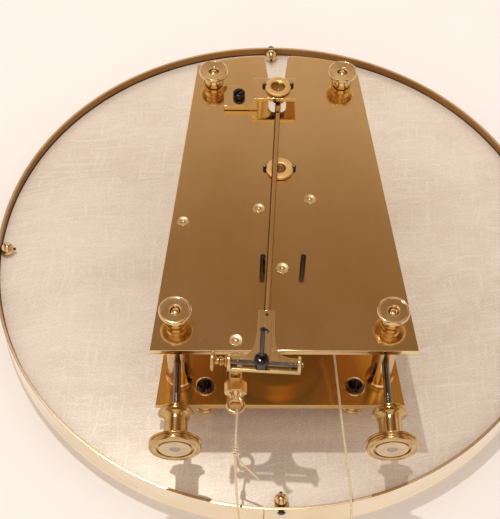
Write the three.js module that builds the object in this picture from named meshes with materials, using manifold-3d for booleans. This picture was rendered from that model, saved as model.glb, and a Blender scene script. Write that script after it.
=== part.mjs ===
// Movement of a one-weight regulator clock, lying on its dial.
// Millimetres. Seen from the back: X to the right, Y towards twelve o'clock, Z from the dial up to the back plate.
import * as THREE from 'three';
import Module from 'manifold-3d';

const wasm = await Module();
wasm.setup();

const turn = Math.PI * 2;
const radians = (degrees) => degrees * Math.PI / 180;

// Clearances: rest is left between touching pieces, slip round a piece that is only pushed in, running round a pivot.
const gap = { rest: 0.3, slip: 0.1, running: 0.05 };

// Dial side
const bezel = { radius: 110, depth: 14.6, wall: 1.1, lip: 8.5, lipThick: 1.3 };
bezel.lipInner = bezel.radius - bezel.lip;
const dial = { back: 11.1, thick: 1.5, handHole: 4.4, windingHole: 4.4 };
dial.radius = bezel.radius - bezel.wall - gap.rest;
const rimPost = { ball: 2.6, centre: 13.3, tip: 1, tipLong: 1.2, shank: 0.9, head: 1.5, headThick: 0.8 };
rimPost.at = bezel.radius - bezel.wall - gap.rest - rimPost.ball;
const foot = {
  radius: 4.6, neck: 3.4, screw: 1.1, screwHead: 2.8, headThick: 1.5, side: 26.75, low: -67.25, high: 50,
};
const hands = { hour: 7.5, minute: 5.4, second: 3.4, thick: 0.5, hourLong: 62, minuteLong: 92, secondLong: 86 };
const shown = { hour: 10, minute: 9, second: 36 };

// Plates and pillars
const plate = {
  front: 21.4, thick: 2.75, back: 59.6, bottom: -74.7, bottomHalf: 44.2, shoulder: 53, shoulderHalf: 30.7,
  crown: 58.6,
};
plate.frontTop = plate.front + plate.thick;
plate.backTop = plate.back + plate.thick;
const slot = { left: -4.8, right: 4, waistLeft: -3.6, waistRight: 2.9, waist: 47.4, foot: 32, apex: 29 };
const pillar = { radius: 3.9, flare: 5, stud: 1.45, tenon: 2.2, lowX: 35.9, lowY: -63.4, highX: 24.4, highY: 43.6 };
const nut = { head: 5.55, bell: 4.3, neck: 2.9, tall: 6.84, stand: 6.2 };
const seat = { rod: 1.3, height: 41, top: -85.1, flange: 6, barrel: 4, disc: 8.8, discFrom: -97, end: -100.1 };

// Arbor centres on the plates
const centres = {
  escape: [0, 0],
  centre: [-7.8, -16.5],
  third: [10.5, -12.3],
  great: [0, -42.1],
  detent: [-34.5, -22.3],
  pallets: [0, 33.6],
  hook: [-15.9, -70.8],
};

// Tooth counts of the going train and of the motion work
const teeth = { great: 96, centrePinion: 8, centre: 64, thirdPinion: 8, third: 60, escapePinion: 8, escape: 30 };
const motion = { driver: 30, minute: 30, cannon: 30, minutePinion: 6, hour: 72 };

// Heights of what turns between the plates and in front of them
const level = {
  centre: 28, centreThick: 1.6, third: 32, thirdThick: 1.4, escape: 40.4, escapeThick: 1,
  drum: 39, drumThick: 13.3, ratchet: 52.6, ratchetThick: 1, greatThick: 2.4,
  driver: 18.2, driverThick: 1.3, hour: 13.6, hourThick: 1.2,
};
level.great = level.ratchet + level.ratchetThick;
const drum = { radius: 15.9, flange: 17.2, wall: 1.3, arbor: 3, pivot: 2, square: 4.2 };
const ratchet = { radius: 21, root: 20.1, count: 24 };

// Escapement: the pallets span a whole number of teeth and a half. A real pallet dips into the wheel at each swing.
// These stay clear of it by some degrees of swing, because a joint can't step the wheel one tooth at a time.
const escapement = {
  spanTeeth: 10.5, root: 12.2, tipWidth: 0.22, rootWidth: 0.54, palletWidth: 0.9, drop: 0.06, clear: 4,
  impulse: 1.2,
};
escapement.spanAngle = radians(escapement.spanTeeth * 360 / teeth.escape / 2);
escapement.radius = centres.pallets[1] * Math.cos(escapement.spanAngle);
escapement.reach = centres.pallets[1] * Math.sin(escapement.spanAngle);
const restSwing = radians(-3.4);

// Back of the movement
const cock = {
  left: -20.5, step: -7.9, right: 6.6, low: 29.6, high: 40, footThick: 2.3, bridge: 6.8, bridgeThick: 1.7,
};
const cockScrew = { x: -14.8, y: 34.5, head: 2.25, headThick: 2.2, shank: 1.2 };
const palletBush = { x: -0.25, y: 34.8, radius: 4.78, thick: 0.9, spigot: 3.3, sink: 2.6, sinkDeep: 0.5 };
const escapeBush = { x: -0.1, y: 0.9, radius: 4.9, thick: 1.2, spigot: 3.4, sink: 2.2, sinkDeep: 0.6 };
const banking = { x: 6.85, y: -42.2, radius: 0.95, stand: 7.8 };
const crutch = {
  level: 64.55, thick: 1.7, rod: 1.7, hub: 2.7, neckAt: -95.3, neck: 2.8, waistAt: -104, waist: 3.5,
  flareAt: -110, flare: 5.8, crossAt: -113, cross: 11.8, end: -118.2, slotLong: 17, slotWide: 1.8,
  ear: 2.8, earThick: 1.1,
};
crutch.top = crutch.level + crutch.thick;
const beat = { screw: 0.9, at: -116.2, rise: 1.25, block: 2.5, blockOver: 3.8, pin: 0.75, pinLong: 17.7, offset: -0.9 };
beat.height = crutch.top + beat.rise;
beat.blockTop = beat.height + beat.blockOver;
beat.pinTop = beat.blockTop + beat.pinLong;
const knob = { flange: 1.9, neck: 1.2, swell: 1.6, disc: 3.45, long: 4.2, discThick: 1 };
knob.from = -crutch.cross - gap.slip;
knob.discAt = knob.from - knob.long;

// Hanging hook of the line
const hook = {
  height: 40.5, post: 3.2, tenon: 1.5, shank: 1.2, body: 4.3, bodyFrom: -74.4, bodyTo: -79.2, cone: -81,
  ring: 2.35, wire: 1, ringAt: -83.4,
};

// Gut line: it leaves the drum, lies in a coil behind the view and comes back to the hook ring
const gut = { radius: 0.4, sides: 5, steps: 36, drumHeight: 43.5 };

// Facets round a large ring, a turned piece and a small round one
const round = { large: 60, turned: 12, small: 8 };
const coil = {
  x: 4.3, y: -136, inner: 4.1, pitch: 1.42, rise: 1.42, layers: 4, turnsInLayer: 4.125, steps: 14, sides: 5,
  ramp: 0.3,
};
coil.outer = coil.inner + coil.pitch * coil.turnsInLayer;

const metals = {
  brass: new THREE.MeshStandardMaterial({ color: 0xc9a25a, roughness: 0.28, metalness: 1 }),
  brushed: new THREE.MeshStandardMaterial({ color: 0xc9c5bc, roughness: 0.35, metalness: 1 }),
  steel: new THREE.MeshStandardMaterial({ color: 0x9a9a98, roughness: 0.3, metalness: 1 }),
  blued: new THREE.MeshStandardMaterial({ color: 0x23264a, roughness: 0.35, metalness: 1 }),
  gut: new THREE.MeshStandardMaterial({ color: 0xd9c7a0, roughness: 0.5, metalness: 0 }),
};

function solid(geometry) {
  const bare = geometry.clone();
  bare.deleteAttribute('normal');
  bare.deleteAttribute('uv');
  const welded = weld(bare);
  return new wasm.Manifold(new wasm.Mesh({
    numProp: 3,
    vertProperties: new Float32Array(welded.positions),
    triVerts: new Uint32Array(welded.triangles),
  }));
}

// Joins equal points and drops the triangles that have no area.
function weld(geometry) {
  const source = geometry.attributes.position;
  const order = geometry.index ? Array.from(geometry.index.array) : Array.from({ length: source.count }, (_, i) => i);
  const seen = new Map();
  const positions = [];
  const renamed = [];
  for (let i = 0; i < source.count; i += 1) {
    const point = [source.getX(i), source.getY(i), source.getZ(i)];
    const key = point.map((value) => Math.round(value * 1e4)).join(',');
    if (!seen.has(key)) {
      seen.set(key, positions.length / 3);
      positions.push(...point);
    }
    renamed.push(seen.get(key));
  }
  const triangles = [];
  for (let i = 0; i < order.length; i += 3) {
    const [a, b, c] = [renamed[order[i]], renamed[order[i + 1]], renamed[order[i + 2]]];
    if (a !== b && b !== c && a !== c) {
      triangles.push(a, b, c);
    }
  }
  return { positions, triangles };
}

// Turned piece about Z from a closed run of [radius, height] pairs, listed with height rising on the outside.
function turned(profile, facets) {
  const points = profile.map(([radius, height]) => new THREE.Vector2(radius, height));
  const closes = profile[0][0] > 0 || profile.at(-1)[0] > 0;
  if (closes) {
    points.push(points[0].clone());
  }
  return solid(new THREE.LatheGeometry(points, facets).rotateX(Math.PI / 2));
}

function rod(radius, low, high, facets = round.small) {
  const geometry = new THREE.CylinderGeometry(radius, radius, high - low, facets);
  return solid(geometry.rotateX(Math.PI / 2)).translate([0, 0, (low + high) / 2]);
}

// Cutter for a round hole whose flats stand at the radius, so a shaft of that radius turns inside it.
function bore(radius, low, high, facets = round.small) {
  return rod(radius / Math.cos(Math.PI / facets), low, high, facets);
}

function box(x0, x1, y0, y1, z0, z1) {
  const geometry = new THREE.BoxGeometry(x1 - x0, y1 - y0, z1 - z0);
  return solid(geometry).translate([(x0 + x1) / 2, (y0 + y1) / 2, (z0 + z1) / 2]);
}

function slab(outline, low, high) {
  const shape = outline instanceof THREE.Shape ? outline : new THREE.Shape(outline.map(([x, y]) => new THREE.Vector2(x, y)));
  const geometry = new THREE.ExtrudeGeometry(shape, { depth: high - low, bevelEnabled: false, curveSegments: 6 });
  return solid(geometry).translate([0, 0, low]);
}

const placed = (piece, [x, y]) => piece.translate([x, y, 0]);
const alongY = (piece) => piece.rotate([90, 0, 0]);
const alongX = (piece) => piece.rotate([0, 90, 0]);

function joined(first, ...others) {
  return others.reduce((sum, piece) => sum.add(piece), first);
}

function cut(first, ...cutters) {
  return cutters.reduce((left, cutter) => left.subtract(cutter), first);
}

// Pointed teeth with a flat root between them, thin enough to pass each other at every angle.
function toothedOutline(count, pitchRadius, form, phase) {
  const pitchWidth = turn * pitchRadius / count;
  const unit = 2 * pitchRadius / count;
  const root = pitchRadius - form.dedendum * unit;
  const tip = pitchRadius + form.addendum * unit;
  const outline = [];
  const corner = (radius, share, side, angle) => {
    const at = angle + side * share * pitchWidth / 2 / radius;
    outline.push([radius * Math.cos(at), radius * Math.sin(at)]);
  };
  for (let i = 0; i < count; i += 1) {
    const angle = phase + i * turn / count;
    corner(root, form.rootWidth, -1, angle);
    corner(tip, 0, 1, angle);
    corner(root, form.rootWidth, 1, angle);
  }
  return outline;
}

const wheelForm = { addendum: 1.1, dedendum: 1.1, rootWidth: 0.62 };
const pinionForm = { addendum: 0.9, dedendum: 1.3, rootWidth: 0.5 };

// Angle of a follower's first tooth, so that a gap of it meets a tooth on the line of centres.
function meshPhase(leaderTeeth, leaderPhase, line, followerTeeth) {
  return line + Math.PI - (Math.PI - leaderTeeth * (line - leaderPhase)) / followerTeeth;
}

const lineBetween = (from, to) => Math.atan2(to[1] - from[1], to[0] - from[0]);
const distance = (from, to) => Math.hypot(to[0] - from[0], to[1] - from[1]);

// Windows between the crossings of a wheel
function crossings(wheel, arms, inner, outer, armWidth, low, high) {
  let result = wheel;
  for (let i = 0; i < arms; i += 1) {
    const half = Math.PI / arms;
    const inset = (radius) => half - armWidth / 2 / radius;
    const window = [];
    const sweep = (radius, from, to, steps) => {
      for (let k = 0; k <= steps; k += 1) {
        const at = i * turn / arms + half + from + (to - from) * k / steps;
        window.push([radius * Math.cos(at), radius * Math.sin(at)]);
      }
    };
    sweep(outer, -inset(outer), inset(outer), 5);
    sweep(inner, inset(inner), -inset(inner), 1);
    result = result.subtract(slab(window, low - 1, high + 1));
  }
  return result;
}

// Train geometry: each distance is shared out by the tooth counts
function pair(from, to, wheelTeeth, pinionTeeth) {
  const span = distance(from, to);
  return { wheel: span * wheelTeeth / (wheelTeeth + pinionTeeth), pinion: span * pinionTeeth / (wheelTeeth + pinionTeeth) };
}
const first = pair(centres.great, centres.centre, teeth.great, teeth.centrePinion);
const second = pair(centres.centre, centres.third, teeth.centre, teeth.thirdPinion);
const last = pair(centres.third, centres.escape, teeth.third, teeth.escapePinion);

// The minute wheel stands as far from the driver as from the cannon wheel, so all three are equal.
const motionUnit = 0.4;
const hourSpan = motionUnit * (motion.hour + motion.minutePinion) / 2;
const driverSpan = distance(centres.centre, centres.escape);
const side = lineBetween(centres.centre, centres.escape) + Math.acos(driverSpan / 2 / hourSpan);
centres.minute = [centres.centre[0] + hourSpan * Math.cos(side), centres.centre[1] + hourSpan * Math.sin(side)];

const phase = { great: 0, centre: 0, third: 0, driver: 0, minutePinion: 0 };
phase.centrePinion = meshPhase(teeth.great, phase.great, lineBetween(centres.great, centres.centre), teeth.centrePinion);
phase.thirdPinion = meshPhase(teeth.centre, phase.centre, lineBetween(centres.centre, centres.third), teeth.thirdPinion);
phase.escapePinion = meshPhase(teeth.third, phase.third, lineBetween(centres.third, centres.escape), teeth.escapePinion);
phase.minute = meshPhase(motion.driver, phase.driver, lineBetween(centres.centre, centres.minute), motion.minute);
phase.cannon = meshPhase(motion.minute, phase.minute, lineBetween(centres.minute, centres.escape), motion.cannon);
phase.hour = meshPhase(motion.minutePinion, phase.minutePinion, lineBetween(centres.minute, centres.escape), motion.hour);

const nodes = [];
function node(name, piece, material) {
  nodes.push({ name, piece, material });
}

// Dial, bezel and the four ball posts that hold the dial in
const postHole = alongY(bore(rimPost.shank + gap.slip, -6, 6)).translate([0, bezel.radius, rimPost.centre]);
const lip = [[bezel.lipInner, 0.4], [bezel.lipInner + 0.5, 0], [bezel.radius - 1, 0], [bezel.radius, 0.9]];
const wall = [[bezel.radius, bezel.depth], [bezel.radius - bezel.wall, bezel.depth]];
const rabbet = [[bezel.radius - bezel.wall, bezel.lipThick + 0.5], [bezel.lipInner, bezel.lipThick]];
const ring = turned([...lip, ...wall, ...rabbet], round.large);
const quarters = [0, 90, 180, 270];
node('bezel', quarters.reduce((left, angle) => left.subtract(postHole.rotate([0, 0, angle])), ring), metals.brass);

const disc = rod(dial.radius, dial.back - dial.thick, dial.back, round.large);
const handHole = bore(dial.handHole, 0, 20, round.turned);
const windingHole = placed(bore(dial.windingHole, 0, 20, round.turned), centres.great);
node('dial', cut(disc, handHole, windingHole), metals.brushed);

const ball = solid(new THREE.SphereGeometry(rimPost.ball, round.turned, 7));
const flatBelow = box(-5, 5, -5, 5, -10, dial.back + gap.rest - rimPost.centre);
const tipEnd = rimPost.ball + rimPost.tipLong;
const tip = alongY(turned([[0, 1], [rimPost.tip, 1], [0.2, tipEnd], [0, tipEnd]], round.small));
const shank = alongY(rod(rimPost.shank, -(bezel.radius + 0.4 - rimPost.at), 0));
const screwHead = alongY(rod(rimPost.head, -rimPost.headThick, 0)).translate([0, bezel.radius + gap.rest - rimPost.at, 0]);
const post = joined(ball.subtract(flatBelow), tip, shank, screwHead).translate([0, rimPost.at, rimPost.centre]);
const hours = { 12: 0, 3: 90, 6: 180, 9: 270 };
for (const [hour, angle] of Object.entries(hours)) {
  node(`rim_post_${hour}`, post.rotate([0, 0, angle]), metals.brass);
}

// Plates
const crownRise = plate.crown - plate.shoulder;
const crownRadius = (crownRise ** 2 + plate.shoulderHalf ** 2) / 2 / crownRise;
const crownSweep = Math.asin(plate.shoulderHalf / crownRadius);
const plateShape = new THREE.Shape();
plateShape.moveTo(-plate.bottomHalf, plate.bottom);
plateShape.lineTo(plate.bottomHalf, plate.bottom);
plateShape.lineTo(plate.shoulderHalf, plate.shoulder);
plateShape.absarc(0, plate.crown - crownRadius, crownRadius, Math.PI / 2 - crownSweep, Math.PI / 2 + crownSweep, false);
plateShape.closePath();

const corners = {
  lower_left: [-pillar.lowX, pillar.lowY],
  lower_right: [pillar.lowX, pillar.lowY],
  upper_left: [-pillar.highX, pillar.highY],
  upper_right: [pillar.highX, pillar.highY],
};
const feet = { left: [-foot.side, foot.low], right: [foot.side, foot.low], top: [0, foot.high] };
const journals = { centre: 1.2, third: 0.6, great: 2.6, pallets: 0.7, detent: 0.8, escape: 0.8 };
const backJournals = { centre: 0.9, third: 0.6, great: drum.pivot, detent: 0.8 };

const throughFront = (radius, at, facets = round.small) => placed(bore(radius, plate.front - 1, plate.frontTop + 1, facets), at);
const throughBack = (radius, at, facets = round.small) => placed(bore(radius, plate.back - 1, plate.backTop + 1, facets), at);

const frontHoles = [
  ...Object.values(corners).map((at) => throughFront(pillar.tenon + gap.slip, at)),
  ...Object.values(feet).map((at) => throughFront(foot.screw + gap.slip, at)),
  ...['centre', 'third', 'great', 'pallets', 'detent'].map((name) => throughFront(journals[name] + gap.running, centres[name])),
  throughFront(hook.tenon + gap.slip, centres.hook),
  throughFront(0.9 + gap.slip, centres.minute),
];
const pipe = { outer: 1.6, inner: 1.1, end: 12.4 };
const fixedPipe = rod(pipe.outer, pipe.end, plate.front + 1, round.turned);
const pipeBore = bore(pipe.inner, pipe.end - 1, plate.frontTop + 1, round.turned);
node('front_plate', cut(slab(plateShape, plate.front, plate.frontTop).add(fixedPipe), pipeBore, ...frontHoles), metals.brass);

const slotShape = new THREE.Shape();
slotShape.moveTo(slot.left - 1, plate.crown + 2);
slotShape.lineTo(slot.left, plate.crown - 1);
slotShape.lineTo(slot.waistLeft, slot.waist);
slotShape.lineTo(slot.waistLeft, slot.foot);
slotShape.quadraticCurveTo(slot.waistLeft, slot.apex, (slot.waistLeft + slot.waistRight) / 2, slot.apex);
slotShape.quadraticCurveTo(slot.waistRight, slot.apex, slot.waistRight, slot.foot);
slotShape.lineTo(slot.waistRight, slot.waist);
slotShape.lineTo(slot.right, plate.crown - 3);
slotShape.quadraticCurveTo(slot.right + 0.2, plate.crown - 1, slot.right + 2.6, plate.crown - 0.4);
slotShape.lineTo(slot.right + 2.6, plate.crown + 2);
slotShape.closePath();

const backHoles = [
  ...Object.values(corners).map((at) => throughBack(pillar.stud + gap.slip, at)),
  ...Object.entries(backJournals).map(([name, radius]) => throughBack(radius + gap.running, centres[name])),
  throughBack(hook.tenon + gap.slip, centres.hook),
  throughBack(escapeBush.spigot + gap.slip, [escapeBush.x, escapeBush.y], round.turned),
  throughBack(cockScrew.shank + gap.slip, [cockScrew.x, cockScrew.y]),
  throughBack(banking.radius + gap.slip, [-banking.x, banking.y]),
  throughBack(banking.radius + gap.slip, [banking.x, banking.y]),
];
const slotCut = slab(slotShape, plate.back - 1, plate.backTop + 1);
node('back_plate', cut(slab(plateShape, plate.back, plate.backTop), slotCut, ...backHoles), metals.brass);

// Pillars with a riveted front end and a stud for the nut
const between = { low: plate.frontTop + gap.rest, high: plate.back - gap.rest };
const nutTop = plate.backTop + gap.rest + nut.tall;
const pillarProfile = [
  [0, plate.front + 0.1], [pillar.tenon, plate.front + 0.1], [pillar.tenon, between.low], [pillar.flare, between.low],
  [pillar.flare, between.low + 2], [pillar.radius - 0.6, between.low + 3.4], [pillar.radius, between.low + 5],
  [pillar.radius, between.high - 5], [pillar.radius - 0.6, between.high - 3.4], [pillar.flare, between.high - 2],
  [pillar.flare, between.high], [pillar.stud, between.high], [pillar.stud, nutTop - 0.9], [0, nutTop - 0.4],
];
const pillarBody = turned(pillarProfile, round.turned);
const seatHole = alongY(bore(seat.rod + gap.slip, 0, pillar.radius + 2)).translate([0, 0, seat.height]);
for (const [name, at] of Object.entries(corners)) {
  const body = name.startsWith('lower') ? pillarBody.subtract(seatHole) : pillarBody;
  node(`pillar_${name}`, placed(body, at), metals.brass);
}

const nutBase = plate.backTop + gap.rest;
const nutProfile = [
  [pillar.stud + gap.slip, nutBase], [nut.bell - 0.5, nutBase], [nut.bell, nutBase + 1], [nut.bell, nutBase + 2.3],
  [nut.bell - 0.9, nutBase + 3.5], [nut.neck, nutBase + 4.4], [nut.neck + 0.3, nutBase + 4.9], [nut.head - 0.3, nutBase + 5.3],
  [nut.head, nutBase + 5.8], [nut.head, nutBase + 6.3], [nut.head - 0.5, nutTop], [nut.head - 0.9, nutTop - 0.2],
  [pillar.stud + gap.slip, nutTop - 0.2],
];
const nutBody = turned(nutProfile, round.turned);
for (const [name, at] of Object.entries(corners)) {
  node(`pillar_nut_${name}`, placed(nutBody, at), metals.brass);
}

// Dial feet and the screws that hold them through the front plate
const footProfile = [
  [foot.screw + gap.slip, dial.back + gap.rest], [foot.radius, dial.back + gap.rest], [foot.radius, dial.back + gap.rest + 1.6],
  [foot.neck, dial.back + gap.rest + 2.8], [foot.neck, plate.front - gap.rest], [foot.screw + gap.slip, plate.front - gap.rest],
];
const footBody = turned(footProfile, round.turned);
const footHead = plate.frontTop + gap.rest;
const footScrew = joined(rod(foot.screw, dial.back + 3, footHead + 0.2), rod(foot.screwHead, footHead, footHead + foot.headThick, round.turned));
for (const [name, at] of Object.entries(feet)) {
  node(`dial_foot_${name}`, placed(footBody, at), metals.brass);
  node(`foot_screw_${name}`, placed(footScrew, at), metals.blued);
}

// Seat screws: a rod in each lower pillar and a turned knob with its flange
const knobBore = seat.rod + gap.slip;
const seatProfile = [
  [knobBore, -seat.end - 0.4], [seat.disc - 0.4, -seat.end], [seat.disc, -seat.end - 0.5], [seat.disc, -seat.end - 1.1],
  [seat.disc - 0.5, -seat.end - 1.5], [seat.disc, -seat.end - 1.9], [seat.disc, -seat.discFrom + 0.4],
  [seat.disc - 0.5, -seat.discFrom], [seat.barrel, -seat.discFrom], [seat.barrel, -seat.top + 3.6],
  [seat.barrel - 0.5, -seat.top + 2.8], [seat.barrel + 0.6, -seat.top + 2], [seat.flange, -seat.top + 1],
  [seat.flange, -seat.top], [knobBore, -seat.top],
];
const seatKnob = alongY(turned([...seatProfile].reverse(), 14)).translate([0, 0, seat.height]);
const rodInner = -pillar.lowY + 1;
const seatRod = alongY(rod(seat.rod, rodInner, -seat.end - 0.5)).translate([0, 0, seat.height]);
for (const [name, x] of Object.entries({ left: -pillar.lowX, right: pillar.lowX })) {
  node(`seat_screw_${name}`, seatRod.translate([x, 0, 0]), metals.steel);
  node(`seat_knob_${name}`, seatKnob.translate([x, 0, 0]), metals.brass);
}

// Going train
const wheelArbor = (profile) => turned(profile, round.small);
const greatOutline = toothedOutline(teeth.great, first.wheel, wheelForm, phase.great);
const greatTop = level.great + level.greatThick;
const ratchetOutline = Array.from({ length: ratchet.count * 2 }, (_, i) => {
  const at = (Math.floor(i / 2) + (i % 2) * 0.12) * turn / ratchet.count;
  const radius = i % 2 ? ratchet.radius : ratchet.root;
  return [radius * Math.cos(at), radius * Math.sin(at)];
});
const greatRim = slab(greatOutline, level.great, greatTop);
const greatCrossed = crossings(greatRim, 5, 8, 18.4, 3, level.great, greatTop);
const ratchetRing = slab(ratchetOutline, level.ratchet, level.great + 0.2).subtract(rod(18.4, 0, 60, 30));
const greatHub = rod(6.4, level.ratchet, greatTop, round.turned);
const greatBore = bore(drum.arbor + gap.running, 0, 60, round.turned);
node('great_wheel', placed(cut(joined(greatCrossed, ratchetRing, greatHub), greatBore), centres.great), metals.brass);

const drumTop = level.drum + level.drumThick;
const drumProfile = [
  [drum.arbor + gap.slip, level.drum], [drum.flange, level.drum], [drum.flange, level.drum + drum.wall],
  [drum.radius, level.drum + drum.wall], [drum.radius, drumTop - drum.wall], [drum.flange, drumTop - drum.wall],
  [drum.flange, drumTop], [drum.arbor + gap.slip, drumTop],
];
node('barrel', placed(turned(drumProfile, 30), centres.great), metals.brass);
const squareEnd = box(-drum.square / 2, drum.square / 2, -drum.square / 2, drum.square / 2, 8.2, plate.front - 0.6);
const drumArbor = wheelArbor([
  [0, plate.front - 1], [journals.great, plate.front - 1], [journals.great, plate.frontTop + gap.rest],
  [drum.arbor, plate.frontTop + gap.rest], [drum.arbor, between.high], [drum.pivot, between.high],
  [drum.pivot, plate.backTop - 0.1], [0, plate.backTop + 0.4],
]);
node('barrel_arbor', placed(squareEnd.add(drumArbor), centres.great), metals.steel);

function pinion(count, pitchRadius, at, low, high) {
  return slab(toothedOutline(count, pitchRadius, pinionForm, at), low, high);
}

const centreBody = wheelArbor([
  [0, level.driver - 0.8], [journals.centre, level.driver - 0.8], [journals.centre, plate.frontTop + gap.rest],
  [1.4, plate.frontTop + gap.rest], [1.4, between.high], [backJournals.centre, between.high],
  [backJournals.centre, plate.backTop - 0.1], [0, plate.backTop + 0.3],
]);
const centreLeaves = pinion(teeth.centrePinion, first.pinion, phase.centrePinion, level.great - 0.6, greatTop + 0.6);
node('centre_arbor', placed(centreBody.add(centreLeaves), centres.centre), metals.steel);

function wheelOn(count, pitchRadius, at, low, thick, arbor, arms, hub) {
  const rim = slab(toothedOutline(count, pitchRadius, wheelForm, at), low, low + thick);
  const crossed = crossings(rim, arms, hub, pitchRadius * 0.84, pitchRadius * 0.1, low, low + thick);
  const boss = rod(hub * 0.8, low - 0.6, low + thick + 0.6, round.turned);
  return cut(joined(crossed, boss), bore(arbor + gap.slip, low - 2, low + thick + 2));
}
const centreWheel = wheelOn(teeth.centre, second.wheel, phase.centre, level.centre, level.centreThick, 1.4, 5, 4.2);
node('centre_wheel', placed(centreWheel, centres.centre), metals.brass);

const thirdBody = wheelArbor([
  [0, plate.front + 0.2], [journals.third, plate.front + 0.2], [journals.third, plate.frontTop + gap.rest],
  [1.2, plate.frontTop + gap.rest], [1.2, level.third + 3], [0.7, level.third + 3.4], [0.7, between.high],
  [backJournals.third, between.high], [backJournals.third, plate.backTop - 0.1], [0, plate.backTop + 0.2],
]);
const thirdLeaves = pinion(teeth.thirdPinion, second.pinion, phase.thirdPinion, level.centre - 0.8, level.centre + level.centreThick + 0.8);
node('third_arbor', placed(thirdBody.add(thirdLeaves), centres.third), metals.steel);
const thirdWheel = wheelOn(teeth.third, last.wheel, phase.third, level.third, level.thirdThick, 1.2, 5, 3.6);
node('third_wheel', placed(thirdWheel, centres.third), metals.brass);

const bushTop = plate.backTop + gap.rest + escapeBush.thick;
const escapeShaft = 1.1;
const escapeBody = wheelArbor([
  [0, hands.second - 0.9], [journals.escape, hands.second - 0.9], [journals.escape, level.third - 1.2],
  [escapeShaft, level.third - 1], [escapeShaft, between.high - 0.4], [0.6, between.high - 0.4], [0.6, bushTop - 1], [0, bushTop - 0.8],
]);
const escapeLeaves = pinion(teeth.escapePinion, last.pinion, phase.escapePinion, level.third - 0.5, level.third + level.thirdThick + 0.5);
node('escape_arbor', escapeBody.add(escapeLeaves), metals.steel);

// Escape wheel: slender teeth with a radial front, one of them resting just off the entry pallet.
const entryAngle = Math.PI / 2 - escapement.spanAngle;
const halfPallet = escapement.palletWidth / 2;
const tipLead = entryAngle - (halfPallet + escapement.drop) / escapement.radius;
const escapeOutline = [];
for (let i = 0; i < teeth.escape; i += 1) {
  const lead = tipLead + i * turn / teeth.escape;
  const spots = [
    [escapement.root, -escapement.rootWidth / escapement.root], [escapement.radius, -escapement.tipWidth / escapement.radius],
    [escapement.radius, 0], [escapement.root, 0],
  ];
  spots.forEach(([radius, shift]) => escapeOutline.push([radius * Math.cos(lead + shift), radius * Math.sin(lead + shift)]));
}
const escapeTop = level.escape + level.escapeThick;
const escapeRim = crossings(slab(escapeOutline, level.escape, escapeTop), 6, 3, 11, 1.2, level.escape, escapeTop);
const escapeHub = rod(2.4, level.escape - 1, escapeTop + 1, round.turned);
node('escape_wheel', cut(escapeRim.add(escapeHub), bore(escapeShaft + gap.slip, 30, 50)), metals.brass);

// Pallets: two nibs whose locking faces are arcs about the pallet arbor
function nib(sideSign, insideDeeper) {
  const base = -Math.PI / 2 + sideSign * (Math.PI / 2 - escapement.spanAngle);
  const deeper = (degrees) => base - sideSign * radians(degrees);
  const inner = escapement.reach - halfPallet;
  const outer = escapement.reach + halfPallet;
  const innerDepth = -escapement.clear - (insideDeeper ? 0 : escapement.impulse);
  const outerDepth = -escapement.clear - (insideDeeper ? escapement.impulse : 0);
  const steps = 5;
  const outline = [];
  const arc = (radius, from, to) => {
    for (let k = 0; k <= steps; k += 1) {
      const at = deeper(from + (to - from) * k / steps);
      outline.push([radius * Math.cos(at), radius * Math.sin(at)]);
    }
  };
  arc(inner, -13, innerDepth);
  arc(outer, outerDepth, -13);
  const flat = sideSign > 0 ? outline.reverse() : outline;
  return slab(THREE.ShapeUtils.isClockWise(flat.map(([x, y]) => new THREE.Vector2(x, y))) ? flat.reverse() : flat, 0, 2);
}
function arm(sideSign) {
  const at = -Math.PI / 2 + sideSign * (Math.PI / 2 - escapement.spanAngle + radians(11.6));
  const bar = box(0, escapement.reach + halfPallet - 0.1, -1.1, 1.1, 0, 2);
  return bar.rotate([0, 0, at * 180 / Math.PI]);
}
const palletHub = rod(3, 0, 2, round.turned);
const anchor = joined(palletHub, arm(1), arm(-1), nib(1, true), nib(-1, false)).translate([0, 0, level.escape - 0.5]);
const palletTop = plate.backTop + cock.bridge + gap.rest + palletBush.thick;
const palletArbor = wheelArbor([
  [0, plate.front + 0.2], [journals.pallets, plate.front + 0.2], [journals.pallets, plate.frontTop + gap.rest],
  [1.1, plate.frontTop + gap.rest], [1.1, plate.backTop + cock.bridge - cock.bridgeThick - gap.rest],
  [journals.pallets, plate.backTop + cock.bridge - cock.bridgeThick - gap.rest], [journals.pallets, palletTop - 0.7],
  [0, palletTop - 0.5],
]);
const swung = (piece) => placed(piece.rotate([0, 0, restSwing * 180 / Math.PI]), centres.pallets);
node('pallets', swung(anchor.add(palletArbor)), metals.steel);

// Crutch: a long rod that widens into the cross piece of the beat adjuster
const crutchShape = new THREE.Shape();
crutchShape.moveTo(-crutch.neck, crutch.neckAt);
crutchShape.lineTo(-crutch.waist, crutch.waistAt);
crutchShape.quadraticCurveTo(-crutch.waist - 0.4, crutch.flareAt + 2, -crutch.flare, crutch.flareAt);
crutchShape.lineTo(-crutch.cross, crutch.crossAt);
crutchShape.lineTo(-crutch.cross, crutch.end);
crutchShape.lineTo(crutch.cross, crutch.end);
crutchShape.lineTo(crutch.cross, crutch.crossAt);
crutchShape.lineTo(crutch.flare, crutch.flareAt);
crutchShape.quadraticCurveTo(crutch.waist + 0.4, crutch.flareAt + 2, crutch.waist, crutch.waistAt);
crutchShape.lineTo(crutch.neck, crutch.neckAt);
crutchShape.closePath();
const crutchRod = box(-crutch.rod / 2, crutch.rod / 2, crutch.neckAt - 1, 0, crutch.level, crutch.top);
const crutchHub = rod(crutch.hub, crutch.level, crutch.top, round.turned);
const slotLow = beat.at - crutch.slotWide / 2;
const beatSlot = box(-crutch.slotLong / 2, crutch.slotLong / 2, slotLow, slotLow + crutch.slotWide, crutch.level - 1, crutch.top + 1);
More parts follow.
